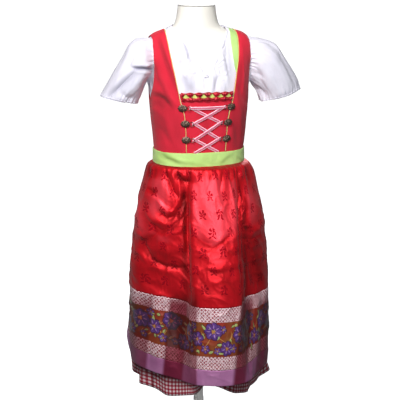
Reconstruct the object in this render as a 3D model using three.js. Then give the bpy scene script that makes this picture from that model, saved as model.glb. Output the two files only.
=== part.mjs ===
// A girl's dirndl in EU size 140, filled out by a limbless dress form on a stand: white blouse with
// puffed sleeves, laced bodice with straps, gathered skirt and gathered apron tied at the back.
// Millimetres, +Z up, origin on the floor under the form's pole. The front faces -Y.
// Left and right are the wearer's, so left is +X.
import * as THREE from "three";

// Driving dimensions
const HEM_Z = 160;
const SKIRT_LENGTH = 595;
const WAIST_Z = HEM_Z + SKIRT_LENGTH;
const BAND_LOW_Z = WAIST_Z - 18;
const BAND_HIGH_Z = WAIST_Z + 17;
const SEAM = 0.4;

// Layers, as the distance of each wall's middle from the form, and its thickness
const BLOUSE = { lift: 2.2, thick: 1.2 };
const BODICE = { lift: 5.1, thick: 1.6 };
const FACING = { lift: 5.4, thick: 1.2 };
const BAND = { lift: 7.6, thick: 1.6 };
const TIE_THICK = 1.4;
const APRON_THICK = 1.2;
const SKIRT_THICK = 1.2;
const TRIM_THICK = 1.0;

// Colours and finishes
const cloth = (color, roughness = 0.85) =>
  new THREE.MeshStandardMaterial({ color, roughness, metalness: 0 });
const formSkin = new THREE.MeshStandardMaterial({ color: 0xf1ede4, roughness: 0.35, metalness: 0 });
const standPaint = new THREE.MeshStandardMaterial({ color: 0xf3f2ee, roughness: 0.4, metalness: 0 });
const antiqueBrass = new THREE.MeshStandardMaterial({ color: 0x6b5540, roughness: 0.45, metalness: 0.9 });
const whiteCotton = cloth(0xf4f3f7);
const redCotton = cloth(0xd8203a);
const greenCotton = cloth(0xa4d05c);
const gingham = cloth(0xc9606c);
const redSatin = cloth(0xd0142a, 0.35);
const borderSatin = cloth(0xb07a78, 0.4);
const purpleTaffeta = cloth(0x8a5a84, 0.4);
const laceRibbon = cloth(0xeaa6b8);
const rucheRed = cloth(0xb5122a, 0.5);

// The form's level sections: up is the height above the waist, half its half width, front and back
// its depths, square the superellipse's power, aside its middle's shift to the wearer's left.
const FORM = [
  { up: -210, half: 88, front: 66, back: 72, square: 2.2, aside: 0 },
  { up: -200, half: 104, front: 78, back: 86, square: 2.2, aside: 0 },
  { up: -160, half: 116, front: 87, back: 95, square: 2.2, aside: 0 },
  { up: -105, half: 118, front: 88, back: 96, square: 2.2, aside: 0 },
  { up: -55, half: 113, front: 84, back: 86, square: 2.2, aside: 0 },
  { up: 0, half: 108, front: 80, back: 76, square: 2.2, aside: 0 },
  { up: 45, half: 110, front: 83, back: 78, square: 2.3, aside: 0 },
  { up: 95, half: 115, front: 88, back: 82, square: 2.3, aside: 0 },
  { up: 145, half: 119, front: 92, back: 85, square: 2.3, aside: 0 },
  { up: 185, half: 121, front: 90, back: 87, square: 2.3, aside: 0 },
  { up: 220, half: 126, front: 84, back: 87, square: 2.3, aside: 0 },
  { up: 250, half: 135, front: 75, back: 83, square: 2.3, aside: 0 },
  { up: 272, half: 135, front: 64, back: 75, square: 2.3, aside: 0 },
  { up: 285, half: 130, front: 57, back: 68, square: 2.2, aside: 0 },
  { up: 293, half: 119, front: 53, back: 62, square: 2.2, aside: -1 },
  { up: 302, half: 101, front: 50, back: 57, square: 2.1, aside: -2.5 },
  { up: 311, half: 78, front: 48, back: 53, square: 2.1, aside: -4 },
  { up: 319, half: 62.5, front: 47, back: 50, square: 2, aside: -5 },
  { up: 330, half: 54.5, front: 46.5, back: 48, square: 2, aside: -5 },
  { up: 350, half: 49.5, front: 46, back: 47, square: 2, aside: -5 },
  { up: 372, half: 46.5, front: 46, back: 46, square: 2, aside: -5 },
];
const FORM_SIDES = 22;
const FORM_FINE_FROM = 245;

// Smooth interpolation
const mix = (a, b, t) => a + (b - a) * t;
const clamp = (x, low, high) => Math.min(high, Math.max(low, x));
const smooth = (t) => t * t * (3 - 2 * t);
const ramp = (x, from, to) => smooth(clamp((x - from) / (to - from), 0, 1));

// Slopes of a smooth curve through values at knots that doesn't overshoot.
function knotSlopes(knots, values) {
  const last = knots.length - 1;
  const secant = knots.slice(1).map((k, i) => (values[i + 1] - values[i]) / (k - knots[i]));
  return knots.map((_, i) => {
    if (i === 0) return secant[0];
    if (i === last) return secant[last - 1];
    const [a, b] = [secant[i - 1], secant[i]];
    return a * b <= 0 ? 0 : (2 * a * b) / (a + b);
  });
}

function curveThrough(knots, values) {
  const slopes = knotSlopes(knots, values);
  return (at) => {
    const x = clamp(at, knots[0], knots[knots.length - 1]);
    let i = 0;
    while (i < knots.length - 2 && x > knots[i + 1]) i++;
    const span = knots[i + 1] - knots[i];
    const t = (x - knots[i]) / span;
    const t2 = t * t;
    const t3 = t2 * t;
    return (
      (2 * t3 - 3 * t2 + 1) * values[i] +
      (t3 - 2 * t2 + t) * span * slopes[i] +
      (3 * t2 - 2 * t3) * values[i + 1] +
      (t3 - t2) * span * slopes[i + 1]
    );
  };
}

// A Catmull-Rom curve through points, with t from 0 to 1.
function pathThrough(points) {
  const last = points.length - 1;
  return (t) => {
    const place = clamp(t, 0, 1) * last;
    const i = Math.min(Math.floor(place), last - 1);
    const f = place - i;
    const before = points[Math.max(i - 1, 0)];
    const [a, b] = [points[i], points[i + 1]];
    const after = points[Math.min(i + 2, last)];
    return a.map(
      (_, k) =>
        0.5 *
        (2 * a[k] +
          (b[k] - before[k]) * f +
          (2 * before[k] - 5 * a[k] + 4 * b[k] - after[k]) * f * f +
          (3 * a[k] - before[k] - 3 * b[k] + after[k]) * f * f * f),
    );
  };
}

// A path through a table's points that doesn't overshoot them, with t from 0 to 1
function edgeThrough(points) {
  const knots = points.map((_, i) => i / (points.length - 1));
  const curves = points[0].map((_, k) => curveThrough(knots, points.map((p) => p[k])));
  return (t) => curves.map((curve) => curve(t));
}

// Vectors as arrays
const add = (a, b, k = 1) => a.map((x, i) => x + b[i] * k);
const dot = (a, b) => a.reduce((sum, x, i) => sum + x * b[i], 0);
const length = (a) => Math.sqrt(dot(a, a));
const unit = (a) => a.map((x) => x / length(a));
const cross = (a, b) => [
  a[1] * b[2] - a[2] * b[1],
  a[2] * b[0] - a[0] * b[2],
  a[0] * b[1] - a[1] * b[0],
];
const lerp = (a, b, t) => a.map((x, i) => mix(x, b[i], t));

// The form's section at a height, and how far a point lies outside it
const formKnots = FORM.map((row) => WAIST_Z + row.up);
const formCurves = Object.fromEntries(
  ["half", "front", "back", "square", "aside"].map((key) => [
    key,
    curveThrough(formKnots, FORM.map((row) => row[key])),
  ]),
);

function sectionAt(z) {
  return {
    half: formCurves.half(z),
    front: formCurves.front(z),
    back: formCurves.back(z),
    square: formCurves.square(z),
    aside: formCurves.aside(z),
  };
}

function outside([worldX, y, z]) {
  const s = sectionAt(z);
  const x = worldX - s.aside;
  const depth = y < 0 ? s.front : s.back;
  const share = (Math.abs(x / s.half) ** s.square + Math.abs(y / depth) ** s.square) ** (1 / s.square);
  const reach = Math.hypot(x, y);
  return reach - reach / share;
}

const PROBE = 0.5;

// Moves a point along the form's normal until it lies lift outside the form.
function onForm(guide, lift) {
  let p = guide;
  for (let turn = 0; turn < 12; turn++) {
    const slope = [0, 1, 2].map((k) => {
      const step = [0, 1, 2].map((j) => (j === k ? PROBE : 0));
      return (outside(add(p, step)) - outside(add(p, step, -1))) / (2 * PROBE);
    });
    const steep = length(slope);
    p = add(p, slope, -(outside(p) / steep - lift) / steep);
  }
  return p;
}

// A closed mesh from rows of outer and inner points. A row may hold as many points as the one before,
// or half or twice as many spans. Rings close on themselves.
function shellMesh(outer, inner, ring) {
  const points = [];
  const faces = [];
  const index = [outer, inner].map((side) =>
    side.map((row) => row.map((p) => points.push(p) - 1)),
  );
  const face = (a, b, c, flip) => faces.push(flip ? [a, c, b] : [a, b, c]);
  index.forEach((side, flip) => {
    for (let r = 0; r + 1 < side.length; r++) {
      const [top, low] = [side[r], side[r + 1]];
      const spans = (row) => (ring ? row.length : row.length - 1);
      const at = (row, i) => row[i % row.length];
      const [n, m] = [spans(top), spans(low)];
      const steps = Math.min(n, m);
      for (let i = 0; i < steps; i++) {
        const [t0, t1] = [at(top, (i * n) / steps), at(top, ((i + 1) * n) / steps)];
        const [l0, l1] = [at(low, (i * m) / steps), at(low, ((i + 1) * m) / steps)];
        if (n > m) {
          const middle = at(top, 2 * i + 1);
          face(t0, l0, middle, flip);
          face(middle, l0, l1, flip);
          face(middle, l1, t1, flip);
        } else if (m > n) {
          const middle = at(low, 2 * i + 1);
          face(t0, l0, middle, flip);
          face(t0, middle, t1, flip);
          face(t1, middle, l1, flip);
        } else {
          face(t0, l0, l1, flip);
          face(t0, l1, t1, flip);
        }
      }
    }
  });
  const rim = (a, b) => {
    for (let i = 0; i + 1 < a.length; i++) {
      face(a[i], a[i + 1], b[i + 1], false);
      face(a[i], b[i + 1], b[i], false);
    }
  };
  const closed = (row) => (ring ? [...row, row[0]] : row);
  const [out, within] = index;
  rim(closed(out[0]), closed(within[0]));
  rim(closed(within.at(-1)), closed(out.at(-1)));
  if (!ring) {
    const edge = (side, pick) => side.map((row) => row.at(pick));
    rim(edge(within, 0), edge(out, 0));
    rim(edge(out, -1), edge(within, -1));
  }
  return geometryOf(points, faces);
}

// A geometry with its faces turned outwards
function geometryOf(points, faces) {
  const volume = faces.reduce(
    (sum, [a, b, c]) => sum + dot(points[a], cross(points[b], points[c])),
    0,
  );
  const turned = volume < 0 ? faces.map(([a, b, c]) => [a, c, b]) : faces;
  const geometry = new THREE.BufferGeometry();
  geometry.setAttribute("position", new THREE.Float32BufferAttribute(points.flat(), 3));
  geometry.setIndex(turned.flat());
  geometry.computeVertexNormals();
  return geometry;
}

const EPS = 1e-3;

function normalAt(surface, u, v) {
  const along = add(surface(u + EPS, v), surface(u - EPS, v), -1);
  const down = add(surface(u, v + EPS), surface(u, v - EPS), -1);
  return unit(cross(along, down));
}

// A wall of the given thickness on both sides of a surface of u and v. downs holds each row's v. cols
// may be one number, or one for each row of points.
function wall(surface, { cols, downs, thick, ring = false }) {
  const sides = [0.5, -0.5].map((share) =>
    downs.map((v, r) => {
      const count = Array.isArray(cols) ? cols[r] : cols;
      return Array.from({ length: ring ? count : count + 1 }, (_, c) => {
        const u = c / count;
        return add(surface(u, v), normalAt(surface, u, v), share * thick);
      });
    }),
  );
  return shellMesh(sides[0], sides[1], ring);
}

// Even shares from one end to the other
const even = (steps, from = 0, to = 1) =>
  Array.from({ length: steps + 1 }, (_, i) => mix(from, to, i / steps));

// The same surface with its edges drawn in by a seam allowance in millimetres
const LENGTH_STEPS = 6;

function drawnIn(surface, { u: atU = 0, v: atV = 0 }) {
  const run = (along) => {
    let sum = 0;
    for (let i = 0; i < LENGTH_STEPS; i++) {
      sum += length(add(along((i + 1) / LENGTH_STEPS), along(i / LENGTH_STEPS), -1));
    }
    return Math.max(sum, 4 * SEAM);
  };
  const shares = Array.from({ length: LENGTH_STEPS + 1 }, (_, i) => i / LENGTH_STEPS);
  const across = curveThrough(shares, shares.map((v) => run((t) => surface(t, v))));
  const down = curveThrough(shares, shares.map((u) => run((t) => surface(u, t))));
  return (u, v) => {
    const [eu, ev] = [atU / across(v), atV / down(u)];
    return surface(mix(eu, 1 - eu, u), mix(ev, 1 - ev, v));
  };
}

// A body panel on one side between two edges. Between them the angle, reach and height about the form's
// axis change evenly. side is 1 for the left and -1 for the right.
function bodyPanel(inner, outer, lift, side) {
  return (u, v) => {
    const [a, b] = [inner(v), outer(v)];
    const angle = mix(Math.atan2(a[1], a[0]), Math.atan2(b[1], b[0]), u);
    const reach = mix(Math.hypot(a[0], a[1]), Math.hypot(b[0], b[1]), u);
    const x = side * reach * Math.cos(angle);
    return onForm([x, reach * Math.sin(angle), mix(a[2], b[2], u)], lift);
  };
}

// A point given by its height above the waist
const up = (x, y, above) => [x, y, WAIST_Z + above];

const SIDES = [
  { name: "left", sign: 1 },
  { name: "right", sign: -1 },
];

// Armhole: a loop where the blouse's surface meets a plane across the arm. It is given by the angle from
// its top towards the back, and a panel's edge may lie spread further from the loop's middle.
const ARMHOLE = { x: 121.3, up: 238, sleeve: 1.1 };

function armholePoint(angle, spread, lift) {
  const centre = [ARMHOLE.x, 0, WAIST_Z + ARMHOLE.up];
  const ray = [0, Math.sin(angle), Math.cos(angle)];
  const reach = halved(5, 110, (r) => outside(add(centre, ray, r)) < BLOUSE.lift);
  const edge = add(centre, ray, reach + spread);
  const x = halved(50, 150, (t) => outside([t, edge[1], edge[2]]) < lift);
  return [x, edge[1], edge[2]];
}

// The place between two ends where a test turns false
function halved(from, to, holds) {
  let [low, high] = [from, to];
  for (let i = 0; i < 40; i++) {
    const middle = (low + high) / 2;
    if (holds(middle)) low = middle;
    else high = middle;
  }
  return (low + high) / 2;
}

// A panel's outer edge: up the side seam, then round the front or the back of the armhole to the top
function sideAndArmhole(seam, side, spread, lift) {
  const steps = 8;
  const loop = Array.from({ length: steps + 1 }, (_, i) => {
    const angle = side * Math.PI * (1 - i / steps);
    const low = 0.5 - 0.5 * Math.cos(angle);
    return armholePoint(angle, mix(spread.top, spread.low, low ** 3), lift);
  });
  return edgeThrough([...seam.map(([x, above]) => [x, 0, WAIST_Z + above]), ...loop]);
}

// Bodice: the front's inner edge follows the laced seam and then the neckline.
const FRONT = -1;
const BACK = 1;
const BODICE_SPREAD = { top: 2.5, low: 14 };
const BODICE_SIDE = [
  [110, 0],
  [112, 50],
  [117, 105],
];
const BODICE_FRONT_EDGE = [
  up(47, -72, 0),
  up(48, -74, 34),
  up(49.5, -77, 68),
  up(52, -79, 103),
  up(54.5, -78, 121),
  up(60.5, -76, 143),
  up(67, -73, 178),
  up(73, -68, 210),
  up(78.5, -61, 238),
  up(83, -50, 264),
  up(85, -34, 288),
  up(85.5, -17, 305),
  up(85, 0, 312),
];
const BODICE_BACK_EDGE = [
  up(0, 78, 0),
  up(0, 79, 34),
  up(0, 81, 68),
  up(0, 84, 105),
  up(0, 88, 150),
  up(0, 90, 190),
  up(0, 86, 226),
  up(14, 80, 250),
  up(38, 70, 268),
  up(60, 52, 286),
  up(76, 28, 302),
  up(85, 0, 312),
];

const seamEdge = edgeThrough(BODICE_FRONT_EDGE);

// Where along the front's inner edge a height lies
const seamAtHeight = (z) => halved(0, 1, (t) => seamEdge(t)[2] < z);

const RUCHE_LOW_Z = WAIST_Z + 147;
const RUCHE_HIGH_Z = WAIST_Z + 167;
const CENTRE_TOP_Z = RUCHE_HIGH_Z - 2;

// The front between the laced seams, at a share across and a height
function centreFront(across, z, lift) {
  const edge = seamEdge(seamAtHeight(z));
  return onForm([mix(-edge[0], edge[0], across), edge[1] - 8, z], lift);
}

// Ruche: two lips of a pleated strip, meeting between its open mouths, over a green strip
const RUCHE = { mouths: 6, open: 5.5, relief: 2.2 };
const RUCHE_LIFT = BODICE.lift + BODICE.thick / 2 + 0.3;

function rucheLip(upper) {
  const middle = (RUCHE_LOW_Z + RUCHE_HIGH_Z) / 2;
  const edgeZ = upper ? RUCHE_HIGH_Z : RUCHE_LOW_Z;
  const side = upper ? 1 : -1;
  return (u, v) => {
    const gape = 0.5 - 0.5 * Math.cos(2 * Math.PI * RUCHE.mouths * u);
    const mouth = middle + side * (SEAM / 2 + RUCHE.open * gape ** 1.5);
    const frill = side * (1.2 - 2.4 * gape);
    const z = mix(edgeZ + frill, mouth, v);
    const lift = RUCHE_LIFT + 2.6 + RUCHE.relief * (1 - gape) * Math.sin(Math.PI * clamp(v, 0, 1));
    return centreFront(mix(0.02, 0.98, u), z, lift);
  };
}

// Seam piping: a round cord on the panels' outer face
function pipingGeometry(side) {
  const steps = 20;
  const sides = 5;
  const radius = 1.0;
  const start = seamAtHeight(BAND_HIGH_Z + 1.5);
  const lift = BODICE.lift + BODICE.thick / 2 + 0.6 + radius;
  const line = Array.from({ length: steps + 1 }, (_, i) => {
    const [x, y, z] = seamEdge(mix(start, 0.97, i / steps));
    return new THREE.Vector3(...onForm([side * x, y, z], lift + (0.5 * i) / steps));
  });
  const ring = new THREE.Shape(
    Array.from({ length: sides }, (_, i) => {
      const angle = (2 * Math.PI * i) / sides;
      return new THREE.Vector2(radius * Math.cos(angle), radius * Math.sin(angle));
    }),
  );
  return new THREE.ExtrudeGeometry(ring, {
    steps,
    extrudePath: new THREE.CatmullRomCurve3(line),
    bevelEnabled: false,
  });
}

// Facing: the green inside of the left strap, which shows along its neck edge. Each row holds its height
// above the waist and how far it reaches in from the strap's edge.
const NECK_FACING = [
  [212, 1.6],
  [232, 9],
  [254, 15],
  [276, 18],
  [299, 18],
  [312, 15],
];
const facingOuter = edgeThrough(
  NECK_FACING.map(([above]) => seamEdge(seamAtHeight(WAIST_Z + above))),
);
const facingInner = edgeThrough(
  NECK_FACING.map(([above, wide]) => add(seamEdge(seamAtHeight(WAIST_Z + above)), [wide, wide / 4, 0], -1)),
);

// Blouse: the front's inner edge is the centre line and then the V neckline.
const BLOUSE_LOW = 52;
const BLOUSE_SPREAD = { top: 0, low: 0 };
const BLOUSE_SIDE = [
  [108, BLOUSE_LOW],
  [113, 95],
  [117, 138],
];
const BLOUSE_FRONT_EDGE = [
  up(0, -84, BLOUSE_LOW),
  up(0, -88, 90),
  up(0, -91, 128),
  up(0, -90, 164),
  up(2, -85, 200),
  up(10, -79, 218),
  up(19, -74, 234),
  up(30, -67, 252),
  up(41, -58, 270),
  up(53, -44, 288),
  up(62, -24, 304),
  up(65, 0, 314),
];
const BLOUSE_BACK_EDGE = [
  up(0, 79, BLOUSE_LOW),
  up(0, 82, 90),
  up(0, 85, 128),
  up(0, 87, 164),
  up(0, 87, 200),
  up(0, 84, 230),
  up(0, 76, 258),
  up(0, 66, 284),
  up(4, 55, 304),
  up(28, 46, 311),
  up(52, 28, 314),
  up(65, 0, 314),
];

// Sleeves: each row is a section from the armhole to the cuff, with the ends of its height as seen
// from the front, and its depths.
const SLEEVES = {
  right: [
    { topX: 124, top: 289, underX: 124, under: 196, front: 40, back: 44 },
    { topX: 151, top: 294, underX: 131, under: 187, front: 55, back: 56 },
    { topX: 176, top: 278, underX: 137, under: 176, front: 60, back: 62 },
    { topX: 193, top: 248, underX: 142, under: 166, front: 60, back: 62 },
    { topX: 215, top: 214, underX: 147, under: 156, front: 57, back: 58 },
    { topX: 235, top: 181, underX: 152, under: 145, front: 52, back: 52 },
    { topX: 250, top: 154, underX: 157, under: 134, front: 46, back: 46 },
  ],
  left: [
    { topX: 124, top: 289, underX: 124, under: 196, front: 40, back: 44 },
    { topX: 158, top: 288, underX: 131, under: 186, front: 55, back: 56 },
    { topX: 195, top: 274, underX: 138, under: 176, front: 60, back: 62 },
    { topX: 216, top: 247, underX: 144, under: 166, front: 60, back: 62 },
    { topX: 239, top: 213, underX: 150, under: 155, front: 57, back: 58 },
    { topX: 256, top: 183, underX: 156, under: 143, front: 52, back: 52 },
    { topX: 266, top: 158, underX: 162, under: 128, front: 46, back: 46 },
  ],
};
const CUFF_GATHERS = 14;

function sleeveSurface(side, sign) {
  const section = pathThrough(
    SLEEVES[side].map((row) => [row.topX, row.top, row.underX, row.under, row.front, row.back]),
  );
  return (u, v) => {
    const angle = 2 * Math.PI * u;
    const [topX, top, underX, under, front, back] = section(v);
    const cuff = ramp(v, 0.84, 1) * 1.6 * Math.cos(CUFF_GATHERS * angle);
    const swell = 1 + cuff / 50;
    const share = 0.5 + 0.5 * Math.cos(angle) * swell;
    const depth = (Math.sin(angle) < 0 ? front : back) * Math.sin(angle) * swell;
    const puffed = [mix(underX, topX, share), depth, WAIST_Z + mix(under, top, share)];
    const held = ramp(v, 0, 0.2);
    if (held === 1) return [sign * puffed[0], puffed[1], puffed[2]];
    const seam = add(armholePoint(angle, 0, BLOUSE.lift), [ARMHOLE.sleeve + 26 * v, 0, 0]);
    const p = lerp(seam, puffed, held);
    return [sign * p[0], p[1], p[2]];
  };
}

// Skirt and apron. Each row is a line down the cloth, from the right side over the front to the left: its
// angle at the waist, its place at the hip, the knee and the hem, the apron hem's rise, and how far inside
// it the skirt's hem lies. These places are as seen from 13.5 degrees to the wearer's right of the front.
const VIEW_TURN = THREE.MathUtils.degToRad(13.5);
const turned = ([x, y]) => [
  x * Math.cos(VIEW_TURN) + y * Math.sin(VIEW_TURN),
  -x * Math.sin(VIEW_TURN) + y * Math.cos(VIEW_TURN),
];
const HIP_Z = WAIST_Z - 155;
const KNEE_Z = WAIST_Z - 350;
const APRON_HEM_Z = HEM_Z + 35;
const APRON_LINES = [
  { waist: 158, hip: [-138, 58], knee: [-166, 54], hem: [-203, 46], rise: 62, inset: 32 },
  { waist: 173, hip: [-157, 20], knee: [-176, 8], hem: [-183, 10], rise: 25, inset: 8 },
  { waist: 185, hip: [-160, -16], knee: [-177, -36], hem: [-174, -34], rise: 18, inset: 22 },
  { waist: 199, hip: [-149, -58], knee: [-158, -82], hem: [-157, -76], rise: 16, inset: 6 },
  { waist: 213, hip: [-124, -90], knee: [-118, -104], hem: [-126, -104], rise: 12, inset: 24 },
  { waist: 225, hip: [-94, -110], knee: [-86, -114], hem: [-88, -130], rise: 9, inset: 8 },
  { waist: 237, hip: [-64, -121], knee: [-58, -123], hem: [-56, -148], rise: 5, inset: 8 },
  { waist: 248, hip: [-41, -124], knee: [-32, -134], hem: [-30, -162], rise: 2, inset: 11 },
  { waist: 256, hip: [-26, -120], knee: [-21, -152], hem: [-13, -171], rise: 0, inset: 18 },
  { waist: 263, hip: [-11, -131], knee: [-4, -172], hem: [0, -177], rise: 0, inset: 42 },
  { waist: 273, hip: [20, -139], knee: [28, -180], hem: [31, -182], rise: 0, inset: 94 },
  { waist: 285, hip: [49, -141], knee: [60, -179], hem: [63, -182], rise: 0, inset: 98 },
  { waist: 297, hip: [75, -136], knee: [88, -171], hem: [86, -178], rise: 0, inset: 84 },
  { waist: 308, hip: [93, -127], knee: [108, -156], hem: [104, -171], rise: 1, inset: 34 },
  { waist: 317, hip: [104, -116], knee: [118, -134], hem: [122, -161], rise: 3, inset: 24 },
  { waist: 324, hip: [110, -108], knee: [122, -106], hem: [136, -146], rise: 5, inset: 16 },
  { waist: 331, hip: [121, -102], knee: [136, -92], hem: [143, -126], rise: 8, inset: 18 },
  { waist: 338, hip: [134, -90], knee: [154, -84], hem: [154, -104], rise: 10, inset: 24 },
  { waist: 347, hip: [149, -66], knee: [172, -66], hem: [170, -76], rise: 13, inset: 24 },
  { waist: 357, hip: [164, -25], knee: [181, -28], hem: [181, -34], rise: 16, inset: 22 },
  { waist: 370, hip: [160, 22], knee: [176, 24], hem: [181, 22], rise: 20, inset: -8 },
  { waist: 386, hip: [138, 60], knee: [160, 64], hem: [168, 66], rise: 28, inset: 6 },
  { waist: 401, hip: [112, 92], knee: [132, 104], hem: [141, 112], rise: 36, inset: 6 },
];
// The skirt's lines over the back, the same way round: the angle, and how far each stands out at the
// hem from the plain oval.
const BACK_LINES = [
  { angle: 411, out: 10 },
  { angle: 421, out: -14 },
  { angle: 431, out: 9 },
  { angle: 441, out: -15 },
  { angle: 451, out: 11 },
  { angle: 461, out: -12 },
  { angle: 471, out: 8 },
  { angle: 482, out: -14 },
  { angle: 492, out: 9 },
  { angle: 501, out: -6 },
];
const BACK_OVAL = { hip: [158, 134], knee: [176, 158], hem: [182, 168] };
const SKIRT_TOP_LIFT = 4.4;
const SKIRT_CLEARANCE = 6.5;
const APRON_GATHERS = 20;
const APRON_COLS = 2 * APRON_GATHERS;
const BACK_GATHERS = 16;
const SKIRT_COLS = 34;

function drawnTowardsAxis([x, y], by) {
  const reach = Math.hypot(x, y);
  return [x * (1 - by / reach), y * (1 - by / reach)];
}

// The form's outline at a height, lift outside it, in a direction in degrees
function waistPoint(degrees, z, lift) {
  const angle = THREE.MathUtils.degToRad(degrees);
  const [x, y] = turned([Math.cos(angle), Math.sin(angle)]);
  return onForm([100 * x, 85 * y, z], lift).slice(0, 2);
}

// A cloth line's place at any height: [heights, x values, y values] made into a curve
function clothLine(levels) {
  const sorted = [...levels].sort((a, b) => a.z - b.z);
  const knots = sorted.map((level) => level.z);
  const x = curveThrough(knots, sorted.map((level) => level.at[0]));
  const y = curveThrough(knots, sorted.map((level) => level.at[1]));
  return (z) => [x(z), y(z)];
}

// The cloth's way out from the waist to the hip, at heights below the waistband
const FLARE = [
  { below: 8, share: 0.27 },
  { below: 44, share: 0.52 },
];
const flare = (waist, hip) =>
  FLARE.map(({ below, share }) => ({ z: BAND_LOW_Z - below, at: lerp(waist, hip, share) }));

const apronLines = APRON_LINES.map((row) => {
  const waist = waistPoint(row.waist, BAND_LOW_Z, BAND.lift + 0.2);
  const hip = turned(row.hip);
  return clothLine([
    { z: BAND_LOW_Z, at: waist },
    ...flare(waist, hip),
    { z: HIP_Z, at: hip },
    { z: KNEE_Z, at: turned(row.knee) },
    { z: APRON_HEM_Z, at: turned(row.hem) },
  ]);
});

function skirtLine(waistDegrees, hipSeen, kneeSeen, hemSeen, tuckSeen = null) {
  const [hip, knee, hem] = [hipSeen, kneeSeen, hemSeen].map(turned);
  const waist = waistPoint(waistDegrees, BAND_LOW_Z, SKIRT_TOP_LIFT);
  return clothLine([
    { z: WAIST_Z, at: waistPoint(waistDegrees, WAIST_Z, SKIRT_TOP_LIFT) },
    { z: BAND_LOW_Z, at: waist },
    ...flare(waist, hip),
    { z: HIP_Z, at: hip },
    { z: KNEE_Z, at: knee },
    ...(tuckSeen ? [{ z: APRON_HEM_Z + 18, at: turned(tuckSeen) }] : []),
    { z: HEM_Z, at: hem },
  ]);
}

const ovalPoint = ([wide, deep], degrees, out) => {
  const angle = THREE.MathUtils.degToRad(degrees);
  const p = [wide * Math.cos(angle), deep * Math.sin(angle)];
  return drawnTowardsAxis(p, -out);
};

const skirtLines = [
  ...APRON_LINES.map((row) =>
    skirtLine(
      row.waist,
      drawnTowardsAxis(row.hip, SKIRT_CLEARANCE),
      drawnTowardsAxis(row.knee, SKIRT_CLEARANCE + 0.25 * row.inset),
      drawnTowardsAxis(row.hem, row.inset),
      drawnTowardsAxis(row.hem, Math.max(SKIRT_CLEARANCE, 0.8 * row.inset)),
    ),
  ),
  ...BACK_LINES.map((row) =>
    skirtLine(
      row.angle,
      ovalPoint(BACK_OVAL.hip, row.angle, 0.25 * row.out),
      ovalPoint(BACK_OVAL.knee, row.angle, 0.7 * row.out),
      ovalPoint(BACK_OVAL.hem, row.angle, row.out),
    ),
  ),
];

// A smooth curve across the lines at one height. place counts lines and may wrap round.
function acrossLines(lines, place, z, closed) {
  const count = lines.length;
  const pick = (i) =>
    (closed ? lines[((i % count) + count) % count] : lines[clamp(i, 0, count - 1)])(z);
  const i = closed ? Math.floor(place) : clamp(Math.floor(place), 0, count - 2);
  const four = [pick(i - 1), pick(i), pick(i + 1), pick(i + 2)];
  return pathThrough(four)((1 + place - i) / 3);
}

// How far gathers stand out, below the seam that holds them
function gatherSwell(z) {
  const below = Math.max(0, BAND_LOW_Z - z);
  return 3.4 * (1 - Math.exp(-below / 12)) * Math.exp(-((below / 95) ** 2));
}

function apronSurface(place, z) {
  const [x, y] = acrossLines(apronLines, place, z, false);
  const phase = (place / (APRON_LINES.length - 1)) * APRON_GATHERS;
  const wave = 0.5 - 0.5 * Math.cos(2 * Math.PI * phase);
  return moveOut([x, y], gatherSwell(z) * wave, z);
}

function moveOut([x, y], by, z) {
  const reach = Math.hypot(x, y);
  return [x * (1 + by / reach), y * (1 + by / reach), z];
}

function skirtSurface(place, z) {
  const [x, y] = acrossLines(skirtLines, place, z, true);
  const first = APRON_LINES.length;
  const share = (place - first) / (BACK_LINES.length - 1);
  const bare = ramp(share, 0, 0.1) * (1 - ramp(share, 0.9, 1));
  const wave = 0.5 - 0.5 * Math.cos(2 * Math.PI * share * BACK_GATHERS);
  return moveOut([x, y], bare * gatherSwell(z) * wave, z);
}

// The apron from a height to a lower one, both counted above its own hem where below is given
const HEM_BAND = 42;
const BORDER = 162;
const lastApronLine = APRON_LINES.length - 1;
const hemRise = pathThrough(APRON_LINES.map((row) => [row.rise]));

function apronPart(topOf, lowOf) {
  return (u, v) => {
    const hem = APRON_HEM_Z + hemRise(u)[0];
    return apronSurface(u * lastApronLine, mix(topOf(hem), lowOf(hem), v));
  };
}

const skirtCount = skirtLines.length;
// The side seams lie at these places along the skirt's lines.
const RIGHT_SEAM = 2.4;
const LEFT_SEAM = 20.2;

function skirtPart(from, to) {
  return (u, v) => skirtSurface(mix(from, to, u), mix(WAIST_Z, HEM_Z, v));
}

// Waistband and ties: level strips round the waist
function waistStrip(fromDegrees, toDegrees, low, high, lift) {
  return (u, v) => {
    const degrees = THREE.MathUtils.degToRad(mix(fromDegrees, toDegrees, u));
    return onForm([100 * Math.cos(degrees), 85 * Math.sin(degrees), mix(high, low, v)], lift);
  };
}

const BAND_ENDS = { right: -208, left: 28, gap: 0.35 };

// Bow at the centre back
const KNOT = { half: 13, high: 30, y: 84.6, deep: 14 };

function bowLoop(side) {
  const middle = (BAND_LOW_Z + BAND_HIGH_Z) / 2;
  const line = pathThrough([
    [13.3, 90.2],
    [34, 89],
    [58, 91],
    [76, 96],
    [80, 104],
    [70, 109],
    [46, 105],
    [26, 97],
    [13.3, 93],
  ]);
  return (u, v) => {
    const [x, y] = line(u);
    const share = (x - KNOT.half) / 67;
    const half = mix(9, 17, Math.sqrt(clamp(share, 0, 1)));
    return [side * x, y, middle - 16 * share * share + mix(half, -half, v)];
  };
}

const TAIL = {
  wide: 28,
  reach: 294,
  spread: 30,
  wave: 1.2,
  shares: [0, 0.022, 0.05, 0.1, 0.2, 0.36, 0.56, 0.78, 1],
};
// How far behind the form's axis the tails hang, at depths below the waistband
const tailDepth = curveThrough([-2.2, 5, 12, 44, 137, 291], [92, 102.5, 108, 119, 141.5, 161]);

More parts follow.
